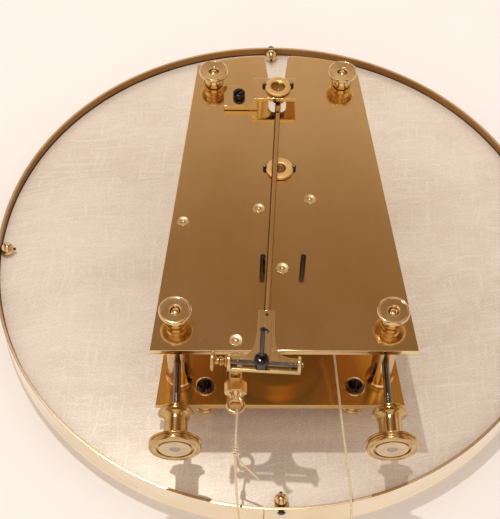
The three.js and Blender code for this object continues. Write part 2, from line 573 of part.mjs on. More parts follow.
const ear = (x) => alongX(rod(crutch.ear, x, x + crutch.earThick, round.turned)).translate([0, beat.at, beat.height]);
const earHole = alongX(bore(beat.screw + gap.running, -20, 20)).translate([0, beat.at, beat.height]);
const ears = joined(ear(-crutch.cross), ear(crutch.cross - crutch.earThick));
const crutchBody = joined(slab(crutchShape, crutch.level, crutch.top), crutchRod, crutchHub, ears);
node('crutch', swung(cut(crutchBody, bore(1.1 + gap.slip, crutch.level - 1, crutch.top + 1), beatSlot, earHole)), metals.brass);

// Crutch pin on its block, and the screw that moves it
const blockLow = crutch.top + gap.rest;
const blockProfile = [
  [0, crutch.level + 0.1], [0.8, crutch.level + 0.1], [0.8, blockLow], [beat.block, blockLow], [beat.block, beat.height + 1.2],
  [beat.block - 0.3, beat.blockTop - 0.5], [beat.block - 1.2, beat.blockTop], [beat.pin, beat.blockTop], [beat.pin, beat.pinTop - 2.4],
  [beat.pin + 0.35, beat.pinTop - 1.6], [beat.pin + 0.35, beat.pinTop - 0.6], [0, beat.pinTop],
];
const blockBore = alongX(bore(beat.screw + gap.running, -5, 5)).translate([0, 0, beat.height]);
const pinBlock = turned(blockProfile, round.turned).subtract(blockBore).translate([beat.offset, beat.at, 0]);
node('crutch_pin', swung(pinBlock), metals.blued);
const beatScrew = alongX(rod(beat.screw, knob.discAt - 0.2, crutch.cross + 0.8)).translate([0, beat.at, beat.height]);
node('beat_screw', swung(beatScrew), metals.steel);
const knobProfile = [
  [beat.screw + gap.slip, knob.from], [knob.flange, knob.from], [knob.flange, knob.from - 0.6],
  [knob.neck, knob.from - 1.2], [knob.neck, knob.from - 1.7], [knob.swell, knob.from - 2.4],
  [knob.neck, knob.discAt + 0.5],
  [knob.disc, knob.discAt], [knob.disc, knob.discAt - knob.discThick], [beat.screw + gap.slip, knob.discAt - knob.discThick],
];
const beatKnob = alongX(turned([...knobProfile].reverse(), round.turned)).translate([0, beat.at, beat.height]);
node('beat_knob', swung(beatKnob), metals.brass);

// Pallet cock, its screw and the two eccentric bushes
const cockFoot = box(cock.left, cock.step, cock.low, cock.high, plate.backTop + gap.rest, plate.backTop + gap.rest + cock.footThick);
const bridgeTop = plate.backTop + cock.bridge;
const cockRiser = box(cock.step - 1.6, cock.step, cock.low, cock.high, plate.backTop + gap.rest, bridgeTop);
const cockBridge = box(cock.step - 1.6, cock.right, cock.low, cock.high, bridgeTop - cock.bridgeThick, bridgeTop);
const cockScrewHole = placed(bore(cockScrew.shank + gap.slip, plate.back, bridgeTop), [cockScrew.x, cockScrew.y]);
const cockBushHole = placed(bore(palletBush.spigot + gap.slip, plate.back, bridgeTop + 1, round.turned), [palletBush.x, palletBush.y]);
node('pallet_cock', cut(joined(cockFoot, cockRiser, cockBridge), cockScrewHole, cockBushHole), metals.brass);
const cockHead = plate.backTop + gap.rest * 2 + cock.footThick;
const cockScrewBody = joined(
  rod(cockScrew.shank, plate.back + 0.2, cockHead + 0.2),
  rod(cockScrew.head, cockHead, cockHead + cockScrew.headThick, round.turned),
);
node('cock_screw', placed(cockScrewBody, [cockScrew.x, cockScrew.y]), metals.blued);

function bush(size, low, spigotLow, pivot, at) {
  const top = low + size.thick;
  const body = joined(rod(size.radius, low, top, 18), rod(size.spigot, spigotLow, low + 0.1, round.turned));
  const sink = placed(rod(size.sink, top - size.sinkDeep, top + 1, round.turned), [(at[0] - size.x) * 0.6, (at[1] - size.y) * 0.6]);
  const hole = placed(bore(pivot + gap.running, spigotLow - 1, top + 1), [at[0] - size.x, at[1] - size.y]);
  return placed(cut(body, sink, hole), [size.x, size.y]);
}
const palletSpigot = bridgeTop - cock.bridgeThick + 0.1;
node('pallet_bush', bush(palletBush, bridgeTop + gap.rest, palletSpigot, journals.pallets, centres.pallets), metals.brass);
node('escape_bush', bush(escapeBush, plate.backTop + gap.rest, plate.back + 0.1, 0.6, centres.escape), metals.brass);

const pinProfile = [
  [0, plate.back + 0.1], [banking.radius, plate.back + 0.1], [banking.radius, plate.backTop + banking.stand - 0.4], [0, plate.backTop + banking.stand],
];
const bankingPin = turned(pinProfile, round.small);
node('banking_pin_left', placed(bankingPin, [-banking.x, banking.y]), metals.blued);
node('banking_pin_right', placed(bankingPin, [banking.x, banking.y]), metals.blued);

// Detent of the maintaining work: its tip rests just off the ratchet
const detentLine = lineBetween(centres.detent, centres.great);
const detentReach = distance(centres.detent, centres.great) - ratchet.radius - gap.rest;
const detentBody = wheelArbor([
  [0, plate.front + 0.2], [journals.detent, plate.front + 0.2], [journals.detent, between.low], [1.3, between.low],
  [1.3, between.high], [journals.detent, between.high], [journals.detent, plate.backTop - 0.1], [0, plate.backTop + 0.2],
]);
const detentArm = slab([[0, -1.4], [detentReach - 4, -1.2], [detentReach, -0.5], [detentReach, 0.3], [0, 1.4]], level.ratchet - 0.4, level.great - gap.rest);
node('detent', placed(detentBody.add(detentArm.rotate([0, 0, detentLine * 180 / Math.PI])), centres.detent), metals.steel);

// Post between the plates and the hook that carries the fixed end of the line
const hookPost = turned([
  [0, plate.front + 0.2], [hook.tenon, plate.front + 0.2], [hook.tenon, between.low], [hook.post, between.low],
  [hook.post, between.high], [hook.tenon, between.high], [hook.tenon, plate.backTop - 0.1], [0, plate.backTop + 0.4],
], round.turned);
const hookHole = alongY(bore(hook.shank + gap.running, -0.5, hook.post + 2)).translate([0, 0, hook.height]);
node('hook_post', placed(hookPost.subtract(hookHole), centres.hook), metals.brass);
const hookTurned = alongY(turned([
  [0, -centres.hook[1]], [hook.shank, -centres.hook[1]], [hook.shank, -hook.bodyFrom], [hook.body - 0.5, -hook.bodyFrom],
  [hook.body, -hook.bodyFrom + 0.5], [hook.body, -hook.bodyTo - 0.5], [hook.body - 0.5, -hook.bodyTo], [1.5, -hook.cone], [0, -hook.cone - 0.4],
], round.turned)).translate([centres.hook[0], 0, hook.height]);
const hookRing = solid(new THREE.TorusGeometry(hook.ring, hook.wire, 7, 14)).translate([centres.hook[0], hook.ringAt, hook.height]);
node('line_hook', hookTurned.add(hookRing), metals.brass);

// Motion work and hands
const stud = joined(rod(0.9, level.hour - 0.4, plate.frontTop - 0.1), rod(1.6, plate.front - 1.2, plate.front - gap.rest));
node('minute_stud', placed(stud, centres.minute), metals.steel);

const driverTop = level.driver + level.driverThick;
const motionRadius = hourSpan / 2;
const driverBody = slab(toothedOutline(motion.driver, motionRadius, wheelForm, phase.driver), level.driver, driverTop);
node('motion_driver', placed(cut(driverBody, bore(journals.centre + gap.slip, 10, 20)), centres.centre), metals.brass);

const minuteBody = slab(toothedOutline(motion.minute, motionRadius, wheelForm, phase.minute), level.driver, driverTop);
const minutePitch = hourSpan * motion.minutePinion / (motion.minutePinion + motion.hour);
const minuteLeaves = pinion(motion.minutePinion, minutePitch, phase.minutePinion, level.hour - 0.3, level.driver + 0.2);
const studBore = bore(0.9 + gap.running, 10, 25);
node('minute_wheel', placed(cut(minuteBody.add(minuteLeaves), studBore), centres.minute), metals.brass);

const cannonPipe = 2.4;
const cannonBody = slab(toothedOutline(motion.cannon, motionRadius, wheelForm, phase.cannon), level.driver, driverTop);
const cannonSleeve = rod(cannonPipe, hands.minute - 0.3, level.driver + 0.2, round.turned);
const cannonBore = bore(pipe.outer + gap.running, 0, 25, round.turned);
node('cannon_wheel', cut(cannonBody.add(cannonSleeve), cannonBore), metals.brass);

const hourPipe = 3.5;
const hourBody = slab(toothedOutline(motion.hour, motionUnit * motion.hour / 2, wheelForm, phase.hour), level.hour, level.hour + level.hourThick);
const hourSleeve = rod(hourPipe, hands.hour - 0.3, level.hour + 0.2, round.turned);
const hourCrossed = crossings(hourBody, 5, 6, 16, 2.4, level.hour, level.hour + level.hourThick);
node('hour_wheel', cut(hourCrossed.add(hourSleeve), bore(cannonPipe + gap.running, 0, 25, round.turned)), metals.brass);

// A hand points from the dial centre; hours run towards -X because the dial is seen from behind.
function hand(length, tail, width, collar, hole, low, angle) {
  const blade = slab([[-tail, -width * 0.8], [-tail, width * 0.8], [length * 0.7, width], [length, 0], [length * 0.7, -width]].reverse(), low, low + hands.thick);
  const eye = rod(collar, low, low + hands.thick, round.turned);
  return cut(joined(blade, eye), bore(hole, 0, 20, round.turned)).rotate([0, 0, 90 + angle]);
}
const minuteAngle = (shown.minute + shown.second / 60) * 6;
node('hour_hand', hand(hands.hourLong, 14, 1.5, 5, hourPipe + gap.slip, hands.hour, (shown.hour + minuteAngle / 360) * 30), metals.blued);
node('minute_hand', hand(hands.minuteLong, 20, 1.1, 4, cannonPipe + gap.slip, hands.minute, minuteAngle), metals.blued);
node('seconds_hand', hand(hands.secondLong, 26, 0.5, 2.4, journals.escape + gap.slip, hands.second, shown.second * 6), metals.blued);

// Gut line: a curve whose parameter is used as it is, so that steps stay in line from turn to turn
class Winding extends THREE.Curve {
  getPoint(share, target = new THREE.Vector3()) {
    const turns = share * coil.layers * coil.turnsInLayer;
    const layer = Math.min(Math.floor(turns / coil.turnsInLayer), coil.layers - 1);
    const inLayer = turns - layer * coil.turnsInLayer;
    const inward = layer % 2 === 0 ? inLayer : coil.turnsInLayer - inLayer;
    const radius = coil.outer - coil.pitch * inward;
    const left = coil.turnsInLayer - inLayer;
    const climb = layer < coil.layers - 1 ? Math.max(0, 1 - left / coil.ramp) : 0;
    const height = gut.radius + 0.05 + (layer + climb) * coil.rise;
    return target.set(coil.x + radius * Math.cos(-turns * turn), coil.y + radius * Math.sin(-turns * turn), height);
  }

  getUtoTmapping(share) {
    return share;
  }
}

function circle(radius, sides) {
  return new THREE.Shape(Array.from({ length: sides }, (_, i) => {
    return new THREE.Vector2(radius * Math.cos(i * turn / sides), radius * Math.sin(i * turn / sides));
  }));
}

function tube(curve, steps, sides) {
  const geometry = new THREE.ExtrudeGeometry(circle(gut.radius, sides), { steps, bevelEnabled: false, extrudePath: curve });
  return solid(geometry);
}

const winding = new Winding();
const windingSteps = coil.layers * coil.turnsInLayer * coil.steps;
node('line_coil', tube(winding, windingSteps, coil.sides), metals.gut);

// Least distance between two turns of the coil, less the line's diameter
const samples = winding.getPoints(windingSteps * 2);
let least = Infinity;
samples.forEach((point, i) => samples.slice(i + coil.steps).forEach((other) => {
  least = Math.min(least, point.distanceTo(other));
}));
console.log(`least gap in the coil: ${(least - gut.radius * 2).toFixed(2)} mm`);

const coilStart = winding.getPoint(0);
const coilEnd = winding.getPoint(1);
const drumExit = [centres.great[0] + drum.radius + gap.rest + gut.radius, centres.great[1] - 1, gut.drumHeight];
const fromBarrel = [
  drumExit, [18.6, -60, 37.2], [20.7, -85, 31.7], [22.9, -110, 26], [22.6, -121, 20], [19.4, -128.6, 9],
  [coilStart.x + 1.2, coilStart.y + 4.4, 1.9], [coilStart.x + 0.05, coilStart.y + gap.rest + 0.3, coilStart.z],
];
const ringEnd = [centres.hook[0] + 0.4, hook.ringAt - hook.ring - hook.wire - gap.rest, hook.height - 0.4];
const toHook = [
  [coilEnd.x - 0.05, coilEnd.y + gap.rest + 0.3, coilEnd.z], [coilEnd.x - 0.8, coilEnd.y + 4, coilEnd.z + 1.2], [-10.5, -126.5, 13],
  [-14.2, -119, 22.4], [-15.6, -108, 28.6], [-15.9, -97, 34.6], ringEnd,
];
const run = (points) => new THREE.CatmullRomCurve3(points.map(([x, y, z]) => new THREE.Vector3(x, y, z)), false, 'centripetal');
node('line_from_barrel', tube(run(fromBarrel), gut.steps, gut.sides), metals.gut);
node('line_to_hook', tube(run(toHook), gut.steps, gut.sides), metals.gut);
const runLength = run(fromBarrel).getLength() + run(toHook).getLength();
console.log(`line length: ${(runLength + winding.getLength()).toFixed(0)} mm`);

function meshed({ name, piece, material }) {
  const mesh = piece.getMesh();
  const geometry = new THREE.BufferGeometry();
  geometry.setAttribute('position', new THREE.BufferAttribute(new Float32Array(mesh.vertProperties), 3));
  geometry.setIndex(new THREE.BufferAttribute(new Uint32Array(mesh.triVerts), 1));
  const faceted = geometry.toNonIndexed();
  faceted.computeVertexNormals();
  const result = new THREE.Mesh(faceted, material.clone());
  result.name = name;
  return result;
}

const movement = new THREE.Group();
movement.name = 'regulator_movement';
nodes.forEach((entry) => movement.add(meshed(entry)));

export default movement;
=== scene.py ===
import bmesh
import bpy
import math
from mathutils import Matrix, Vector


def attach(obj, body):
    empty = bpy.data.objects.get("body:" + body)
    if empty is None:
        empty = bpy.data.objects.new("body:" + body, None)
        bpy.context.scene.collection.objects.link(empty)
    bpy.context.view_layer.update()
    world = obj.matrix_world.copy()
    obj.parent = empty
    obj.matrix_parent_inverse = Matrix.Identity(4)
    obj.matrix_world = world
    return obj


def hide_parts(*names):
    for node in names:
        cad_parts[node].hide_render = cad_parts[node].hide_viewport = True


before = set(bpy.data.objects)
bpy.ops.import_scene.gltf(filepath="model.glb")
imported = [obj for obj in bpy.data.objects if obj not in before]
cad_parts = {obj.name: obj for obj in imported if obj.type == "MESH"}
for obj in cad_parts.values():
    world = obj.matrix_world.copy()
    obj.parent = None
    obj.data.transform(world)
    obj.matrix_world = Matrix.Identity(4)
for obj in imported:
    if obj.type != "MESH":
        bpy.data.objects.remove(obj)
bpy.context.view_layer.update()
print("frame loaded")

# Sizes are in millimetres until a mesh is finished, as in the part's own source
mm = 0.001
perMm = 1000.0
turn = math.tau

# Each finish has its clean colour and the one that it deepens to in patches
colours = {
    "plate": ("#EBD2A2", "#D9B87C"), "frontPlate": ("#F2BC5E", "#D6963C"), "filed": ("#DCBC86", "#C29A62"),
    "turned": ("#F0D9AE", "#D6B47A"), "knob": ("#D3B27C", "#AE854E"), "satin": ("#F2D095", "#E2B46C"),
    # edge is painted shade: the dark brass given to the crutch rod's left side
    "faced": ("#DCC29C", "#C6A97C"), "oiled": ("#A87A40", "#7A4E22"), "edge": ("#5A3C1E", "#3A2412"),
    "wheel": ("#D9B877", "#B98F4C"), "rim": ("#F8E2C2", "#E8CA9C"), "rimInside": ("#A67C4A", "#86603A"),
    "ground": ("#B3AAA2", "#7D746C"), "rod": ("#8A7C72", "#4E423A"), "rivet": ("#A8A097", "#B3AAA2"),
    "silver": ("#F6E9D9", "#DFCCB5"), "blued": ("#1D1A24", "#3A2F3C"), "gut": ("#EBDAB8", "#D0B684"),
    "thread": ("#D8CBB0", "#A8977A"), "wax": ("#1B1917", "#35312D"), "table": ("#FBF6F2", "#F9F3EE"),
}
tarnishColour = "#8A6A34"
scratchColour = "#FFF8EE"

# Blender's noise keeps mostly between these two values; a patch starts a little above the lower one
noiseLow = 0.3
patchLow = 0.35
noiseHigh = 0.7


def linear(code):
    # sRGB hex to the linear colour that Blender works in
    values = [int(code[i:i + 2], 16) / 255 for i in (1, 3, 5)]
    return (*[v / 12.92 if v <= 0.04045 else ((v + 0.055) / 1.055) ** 2.4 for v in values], 1.0)


def addNode(tree, kind, settings=None, links=None):
    # a setting names an attribute of the node, or else an input by its name or number
    made = tree.nodes.new("ShaderNode" + kind)
    for key, value in (settings or {}).items():
        if isinstance(key, str) and hasattr(made, key):
            setattr(made, key, value)
        else:
            made.inputs[key].default_value = value
    for key, source in (links or {}).items():
        socket = source.outputs[0] if isinstance(source, bpy.types.Node) else source
        tree.links.new(socket, made.inputs[key])
    return made


def newMaterial(name, finish):
    # gives the material, its nodes, the place on the piece, and the finish's clean and deep colours
    material = bpy.data.materials.new(name)
    material.use_nodes = True
    tree = material.node_tree
    tree.nodes.clear()
    point = addNode(tree, "TexCoord").outputs["Object"]
    return material, tree, point, *[linear(code) for code in colours[finish]]


# Rolled brass sheet, ground along its length and polished by hand. The eye sees a warm mirror that
# softens with distance, very faint long lines, a few pits and a cloud of tarnish. The front plate takes a
# brighter, deeper orange and partly diffuse copy of it, painted light bounced from the back plate over it,
# and the crutch is a filed bar with broader marks.
rolledLooks = {
    "rolledBrassPolished": {"finish": "plate", "lineEvery": 0.16, "rough": (0.09, 0.13),
                            "lineDepth": 0.0008,
                            "metallic": 1.0},
    # painted light: the front plate's copy, brighter, deeper orange and partly diffuse to stand in for
    # bounced light
    "rolledBrassBounceLit": {"finish": "frontPlate", "lineEvery": 0.2, "rough": (0.11, 0.16),
                             "lineDepth": 0.0008, "metallic": 0.8},
    "filedBrassBar": {"finish": "filed", "lineEvery": 0.12, "rough": (0.16, 0.24), "lineDepth": 0.0015,
                      "metallic": 1.0}}
rolled = {"lineLong": 30, "wipeLong": 22, "wipeEvery": 0.5, "wipeTurn": 0.12, "cloud": (30, 45, 30),
          "cloudShare": 0.5, "pit": 0.7, "pitShare": 0.6, "pitRough": 0.3}


def rolledBrass(name, finish, lineEvery, rough, lineDepth, metallic):
    material, tree, point, clean, deep = newMaterial(name, finish)
    lineScale = (perMm / lineEvery, perMm / rolled["lineLong"], perMm)
    lineSpace = addNode(tree, "Mapping", {"Scale": lineScale}, {"Vector": point})
    lines = addNode(tree, "TexNoise", {"Scale": 1.0, "Detail": 4.0, "Roughness": 0.6},
                    {"Vector": lineSpace})
    wipeScale = (perMm / rolled["wipeLong"], perMm / rolled["wipeEvery"], perMm)
    wipeTurn = (0, 0, rolled["wipeTurn"])
    wipeSpace = addNode(tree, "Mapping", {"Scale": wipeScale, "Rotation": wipeTurn}, {"Vector": point})
    wipes = addNode(tree, "TexNoise", {"Scale": 1.0, "Detail": 3.0, "Roughness": 0.6},
                    {"Vector": wipeSpace})
    cloudScale = [perMm / size for size in rolled["cloud"]]
    cloudSpace = addNode(tree, "Mapping", {"Scale": cloudScale}, {"Vector": point})
    cloud = addNode(tree, "TexNoise", {"Scale": 1.0, "Detail": 4.0, "Roughness": 0.6},
                    {"Vector": cloudSpace})
    pitNoise = addNode(tree, "TexNoise", {"Scale": perMm / rolled["pit"], "Detail": 1.0},
                       {"Vector": point})
    pits = addNode(tree, "MapRange", {1: 0.72, 2: 0.8, 3: 0.0, 4: rolled["pitShare"]}, {0: pitNoise})
    cloudShare = addNode(tree, "MapRange", {1: patchLow, 2: noiseHigh, 3: 0.0, 4: rolled["cloudShare"]},
                         {0: cloud})
    clouded = addNode(tree, "Mix", {"data_type": "RGBA", 6: clean, 7: deep}, {0: cloudShare})
    tint = addNode(tree, "Mix", {"data_type": "RGBA", 7: linear(tarnishColour)},
                   {0: pits, 6: clouded.outputs[2]})
    lineRough = addNode(tree, "MapRange", {1: noiseLow, 2: noiseHigh, 3: rough[0], 4: rough[1]},
                        {0: lines})
    pitRough = addNode(tree, "Math", {"operation": "MULTIPLY", 1: rolled["pitRough"]}, {0: pits})
    roughness = addNode(tree, "Math", {"operation": "ADD"}, {0: lineRough, 1: pitRough})
    lineBump = addNode(tree, "Bump", {"Strength": 0.5, "Distance": lineDepth * mm}, {"Height": lines})
    wipeBump = addNode(tree, "Bump", {"Strength": 0.8, "Distance": lineDepth * mm},
                       {"Height": wipes, "Normal": lineBump})
    surface = addNode(tree, "BsdfPrincipled", {"Metallic": metallic},
                      {"Base Color": tint.outputs[2], "Roughness": roughness, "Normal": wipeBump})
    addNode(tree, "OutputMaterial", {}, {"Surface": surface})
    return material


# Metal from the lathe. Fine rings round each piece's own axis stretch every highlight across the
# turning. Rings of 0.15 mm and more are drawn: the tool's real marks of 0.03 mm are too fine to show.
# A sink is brown with old oil, and the crutch rod's left side gets a dark brass as painted shade. The rim
# has broad rings from the spinning tool, and its inner wall gets a darker, rougher brass.
turnedLooks = {
    "turnedBrassPolished": {"finish": "turned", "ringEvery": 0.15, "rough": (0.1, 0.2), "ringDepth": 0.006},
    "turnedBrassKnob": {"finish": "knob", "ringEvery": 0.15, "rough": (0.14, 0.24), "ringDepth": 0.008},
    "facedBrassSatin": {"finish": "satin", "ringEvery": 0.2, "rough": (0.36, 0.46), "ringDepth": 0.01},
    "facedBrassPale": {"finish": "faced", "ringEvery": 0.2, "rough": (0.3, 0.42), "ringDepth": 0.008},
    "oiledBrassSink": {"finish": "oiled", "ringEvery": 0.2, "rough": (0.2, 0.35), "ringDepth": 0.01},
    # painted shade for the crutch rod's left side
    "paintedShadeBrass": {"finish": "edge", "ringEvery": 0.3, "rough": (0.35, 0.5), "ringDepth": 0.01},
    "cutWheelBrass": {"finish": "wheel", "ringEvery": 0.25, "rough": (0.2, 0.32), "ringDepth": 0.008},
    "spunBrassRim": {"finish": "rim", "ringEvery": 0.3, "rough": (0.18, 0.3), "ringDepth": 0.006,
                     "cloudEvery": 30},
    # the rim's inner wall: a darker, rougher brass
    "spunBrassInnerWall": {"finish": "rimInside", "ringEvery": 0.3, "rough": (0.3, 0.42),
                            "ringDepth": 0.008, "cloudEvery": 30},
    "groundSteel": {"finish": "ground", "ringEvery": 0.15, "rough": (0.14, 0.26), "ringDepth": 0.006},
    "screwSteelDark": {"finish": "rod", "ringEvery": 0.3, "rough": (0.16, 0.24), "ringDepth": 0.004},
    "filedRivetSteel": {"finish": "rivet", "ringEvery": 0.3, "rough": (0.4, 0.5), "ringDepth": 0.004}}


def turnedMetal(name, finish, ringEvery, rough, ringDepth, cloudEvery=4):
    material, tree, point, clean, deep = newMaterial(name, finish)
    across = addNode(tree, "Mapping", {"Scale": (1, 1, 0)}, {"Vector": point})
    radius = addNode(tree, "VectorMath", {"operation": "LENGTH"}, {0: across}).outputs["Value"]
    height = addNode(tree, "SeparateXYZ", {}, {0: point}).outputs[2]
    section = addNode(tree, "CombineXYZ", {}, {0: radius, 1: height})
    rings = addNode(tree, "TexNoise", {"Scale": perMm / ringEvery, "Detail": 3.0, "Roughness": 0.7},
                    {"Vector": section})
    cloud = addNode(tree, "TexNoise", {"Scale": perMm / cloudEvery, "Detail": 3.0, "Roughness": 0.55},
                    {"Vector": point})
    cloudShare = addNode(tree, "MapRange", {1: patchLow, 2: noiseHigh, 3: 0.0, 4: 0.7}, {0: cloud})
    tint = addNode(tree, "Mix", {"data_type": "RGBA", 6: clean, 7: deep}, {0: cloudShare})
    roughness = addNode(tree, "MapRange", {1: noiseLow, 2: noiseHigh, 3: rough[0], 4: rough[1]},
                        {0: rings})
    bump = addNode(tree, "Bump", {"Strength": 0.4, "Distance": ringDepth * mm}, {"Height": rings})
    surface = addNode(tree, "BsdfPrincipled", {"Metallic": 1.0},
                      {"Base Color": tint.outputs[2], "Roughness": roughness, "Normal": bump})
    addNode(tree, "OutputMaterial", {}, {"Surface": surface})
    return material


# Silvered brass, rubbed by hand under a clear lacquer. The metal below spreads the light in a satin
# haze with crossing scratches and warm stains, and the lacquer over it mirrors what stands on it.
# The scratches are drawn 0.7 and 0.8 mm apart: the real ones of 0.02 mm are too fine to show. Each has
# its angle, its spacing and its length.
dialLook = {"metallic": 0.24, "rough": (0.22, 0.32), "lacquer": 1.0, "lacquerRough": 0.05,
            "lacquerIor": 1.5, "strokes": ((0.03, 0.8, 28.0), (0.2, 0.7, 20.0), (1.52, 0.8, 20.0)),
            "scratchShare": 0.7, "bendEvery": 45, "bendBy": 12, "rub": (1.2, 0.14), "stain": (60, 30, 30),
            "grainTurn": 0.5, "mottle": 5, "stainShare": 0.6, "mottleShare": 0.12, "grooveDeep": 0.006}


def silveredDial():
    material, tree, point, clean, deep = newMaterial("silveredBrassLacquered", "silver")
    grainTurn = (0, 0, dialLook["grainTurn"])
    bend = addNode(tree, "TexNoise", {"Scale": perMm / dialLook["bendEvery"], "Detail": 1.0},
                   {"Vector": point}).outputs[1]
    bendBy = addNode(tree, "VectorMath", {"operation": "SCALE", "Scale": dialLook["bendBy"] * mm},
                     {0: bend})
    bent = addNode(tree, "VectorMath", {"operation": "ADD"}, {0: point, 1: bendBy})
    scratches = None
    for angle, every, length in dialLook["strokes"]:
        strokeSpace = addNode(tree, "Mapping",
                              {"vector_type": "TEXTURE", "Scale": (length * mm, every * mm, mm),
                               "Rotation": (0, 0, angle)}, {"Vector": bent})
        stroke = addNode(tree, "TexNoise", {"Scale": 1.0, "Detail": 3.0, "Roughness": 0.6},
                         {"Vector": strokeSpace})
        thin = addNode(tree, "MapRange", {1: 0.53, 2: noiseHigh, 3: 0.0, 4: 1.0}, {0: stroke})
        if scratches is None:
            scratches = thin
        else:
            scratches = addNode(tree, "Math", {"operation": "MAXIMUM"}, {0: scratches, 1: thin})
    rubScale = (perMm / dialLook["rub"][0], perMm / dialLook["rub"][1], perMm)
    rubSpace = addNode(tree, "Mapping", {"Scale": rubScale, "Rotation": grainTurn}, {"Vector": point})
    rub = addNode(tree, "TexNoise", {"Scale": 1.0, "Detail": 4.0, "Roughness": 0.7}, {"Vector": rubSpace})
    stainScale = [perMm / size for size in dialLook["stain"]]
    stainSpace = addNode(tree, "Mapping", {"Scale": stainScale, "Rotation": grainTurn}, {"Vector": point})
    stain = addNode(tree, "TexNoise", {"Scale": 1.0, "Detail": 6.0, "Roughness": 0.66},
                    {"Vector": stainSpace})
    mottle = addNode(tree, "TexNoise",
                     {"Scale": perMm / dialLook["mottle"], "Detail": 4.0, "Roughness": 0.6},
                     {"Vector": bent})
    stainShare = addNode(tree, "MapRange", {1: 0.4, 2: 0.68, 3: 0.0, 4: dialLook["stainShare"]},
                         {0: stain})
    mottleShare = addNode(tree, "MapRange",
                          {1: patchLow, 2: noiseHigh, 3: 0.0, 4: dialLook["mottleShare"]}, {0: mottle})
    dulled = addNode(tree, "Math", {"operation": "ADD"}, {0: stainShare, 1: mottleShare})
    stained = addNode(tree, "Mix", {"data_type": "RGBA", 6: clean, 7: deep}, {0: dulled})
    scratchShare = addNode(tree, "Math", {"operation": "MULTIPLY", 1: dialLook["scratchShare"]},
                           {0: scratches})
    tint = addNode(tree, "Mix", {"data_type": "RGBA", 7: linear(scratchColour)},
                   {0: scratchShare, 6: stained.outputs[2]})
    smooth, dull = dialLook["rough"]
    roughness = addNode(tree, "MapRange", {1: noiseLow, 2: noiseHigh, 3: smooth, 4: dull}, {0: rub})
    grooveDeep = dialLook["grooveDeep"] * mm
    rubBump = addNode(tree, "Bump", {"Strength": 0.35, "Distance": grooveDeep}, {"Height": rub})
    bump = addNode(tree, "Bump", {"Strength": 0.3, "Distance": grooveDeep},
                   {"Height": scratches, "Normal": rubBump})
    surface = addNode(tree, "BsdfPrincipled",
                      {"Metallic": dialLook["metallic"], "Coat Weight": dialLook["lacquer"],
                       "Coat Roughness": dialLook["lacquerRough"], "Coat IOR": dialLook["lacquerIor"]},
                      {"Base Color": tint.outputs[2], "Roughness": roughness, "Normal": bump})
    addNode(tree, "OutputMaterial", {}, {"Surface": surface})
    return material


# Screw steel blued over a flame and oiled: nearly black, with violet where it cooled last, and a
# thin oil film that keeps the highlights white.
bluedLook = {"cloudEvery": 2, "grain": 0.12, "grainDeep": 0.008, "rough": (0.16, 0.3), "oil": 0.6,
             "oilRough": 0.1, "oilIor": 1.5}


def bluedSteel():
    material, tree, point, clean, deep = newMaterial("bluedScrewSteel", "blued")
    cloud = addNode(tree, "TexNoise",
                    {"Scale": perMm / bluedLook["cloudEvery"], "Detail": 3.0, "Roughness": 0.6},
                    {"Vector": point})
    grain = addNode(tree, "TexNoise", {"Scale": perMm / bluedLook["grain"], "Detail": 2.0},
                    {"Vector": point})
    share = addNode(tree, "MapRange", {1: patchLow, 2: noiseHigh, 3: 0.0, 4: 1.0}, {0: cloud})
    tint = addNode(tree, "Mix", {"data_type": "RGBA", 6: clean, 7: deep}, {0: share})
    smooth, dull = bluedLook["rough"]
    roughness = addNode(tree, "MapRange", {1: noiseLow, 2: noiseHigh, 3: smooth, 4: dull}, {0: grain})
    bump = addNode(tree, "Bump", {"Strength": 0.4, "Distance": bluedLook["grainDeep"] * mm},
                   {"Height": grain})
    surface = addNode(tree, "BsdfPrincipled",
                      {"Metallic": 1.0, "Coat Weight": bluedLook["oil"],
                       "Coat Roughness": bluedLook["oilRough"], "Coat IOR": bluedLook["oilIor"]},
                      {"Base Color": tint.outputs[2], "Roughness": roughness, "Normal": bump})
    addNode(tree, "OutputMaterial", {}, {"Surface": surface})
    return material


# Twisted gut and waxed thread: pale strands that let a little light in, uneven where the twist rises.
# The gut's twist is drawn 0.5 mm long, close to its real 0.4 mm.
strandLooks = {"twistedGut": {"finish": "gut", "twist": 0.5, "rough": 0.35},
               "waxedThread": {"finish": "thread", "twist": 0.4, "rough": 0.6}}
strandFibre = {"ior": 1.5, "glow": 0.25, "glowDepth": 0.6, "bump": 0.05}


def twistedStrand(name, finish, twist, rough):
    material, tree, point, clean, deep = newMaterial(name, finish)
    twistSpace = addNode(tree, "Mapping", {"Scale": (perMm / twist,) * 3, "Rotation": (0.6, 0.4, 0.8)},
                         {"Vector": point})
    bands = addNode(tree, "TexNoise", {"Scale": 1.0, "Detail": 2.0}, {"Vector": twistSpace})
    share = addNode(tree, "MapRange", {1: patchLow, 2: noiseHigh, 3: 0.0, 4: 1.0}, {0: bands})
    tint = addNode(tree, "Mix", {"data_type": "RGBA", 6: clean, 7: deep}, {0: share})
    bump = addNode(tree, "Bump", {"Strength": 0.5, "Distance": strandFibre["bump"] * mm},
                   {"Height": bands})
    surface = addNode(tree, "BsdfPrincipled",
                      {"Metallic": 0.0, "IOR": strandFibre["ior"], "Roughness": rough,
                       "Subsurface Weight": strandFibre["glow"],
                       "Subsurface Scale": strandFibre["glowDepth"] * mm},
                      {"Base Color": tint.outputs[2], "Normal": bump})
    addNode(tree, "OutputMaterial", {}, {"Surface": surface})
    return material


# Two dielectrics, uneven in patches: black wax melted into engraved lines and rubbed flat, and the
# painted table, almost white with a soft sheen. glossyPlain is the share of the table's plain colour
# that mirrors see at a strength of 1.
plainLooks = {
    "engravingWax": {"finish": "wax", "patch": 1.5, "detail": 4.0, "patches": (0.0, 1.0),
                     "rough": (0.45, 0.6), "glossyPlain": 0},
    "paintedTable": {"finish": "table", "patch": 80, "detail": 3.0, "patches": (noiseLow, noiseHigh),
                     "rough": (0.42, 0.5), "glossyPlain": 0.9}}
plainIor = 1.45


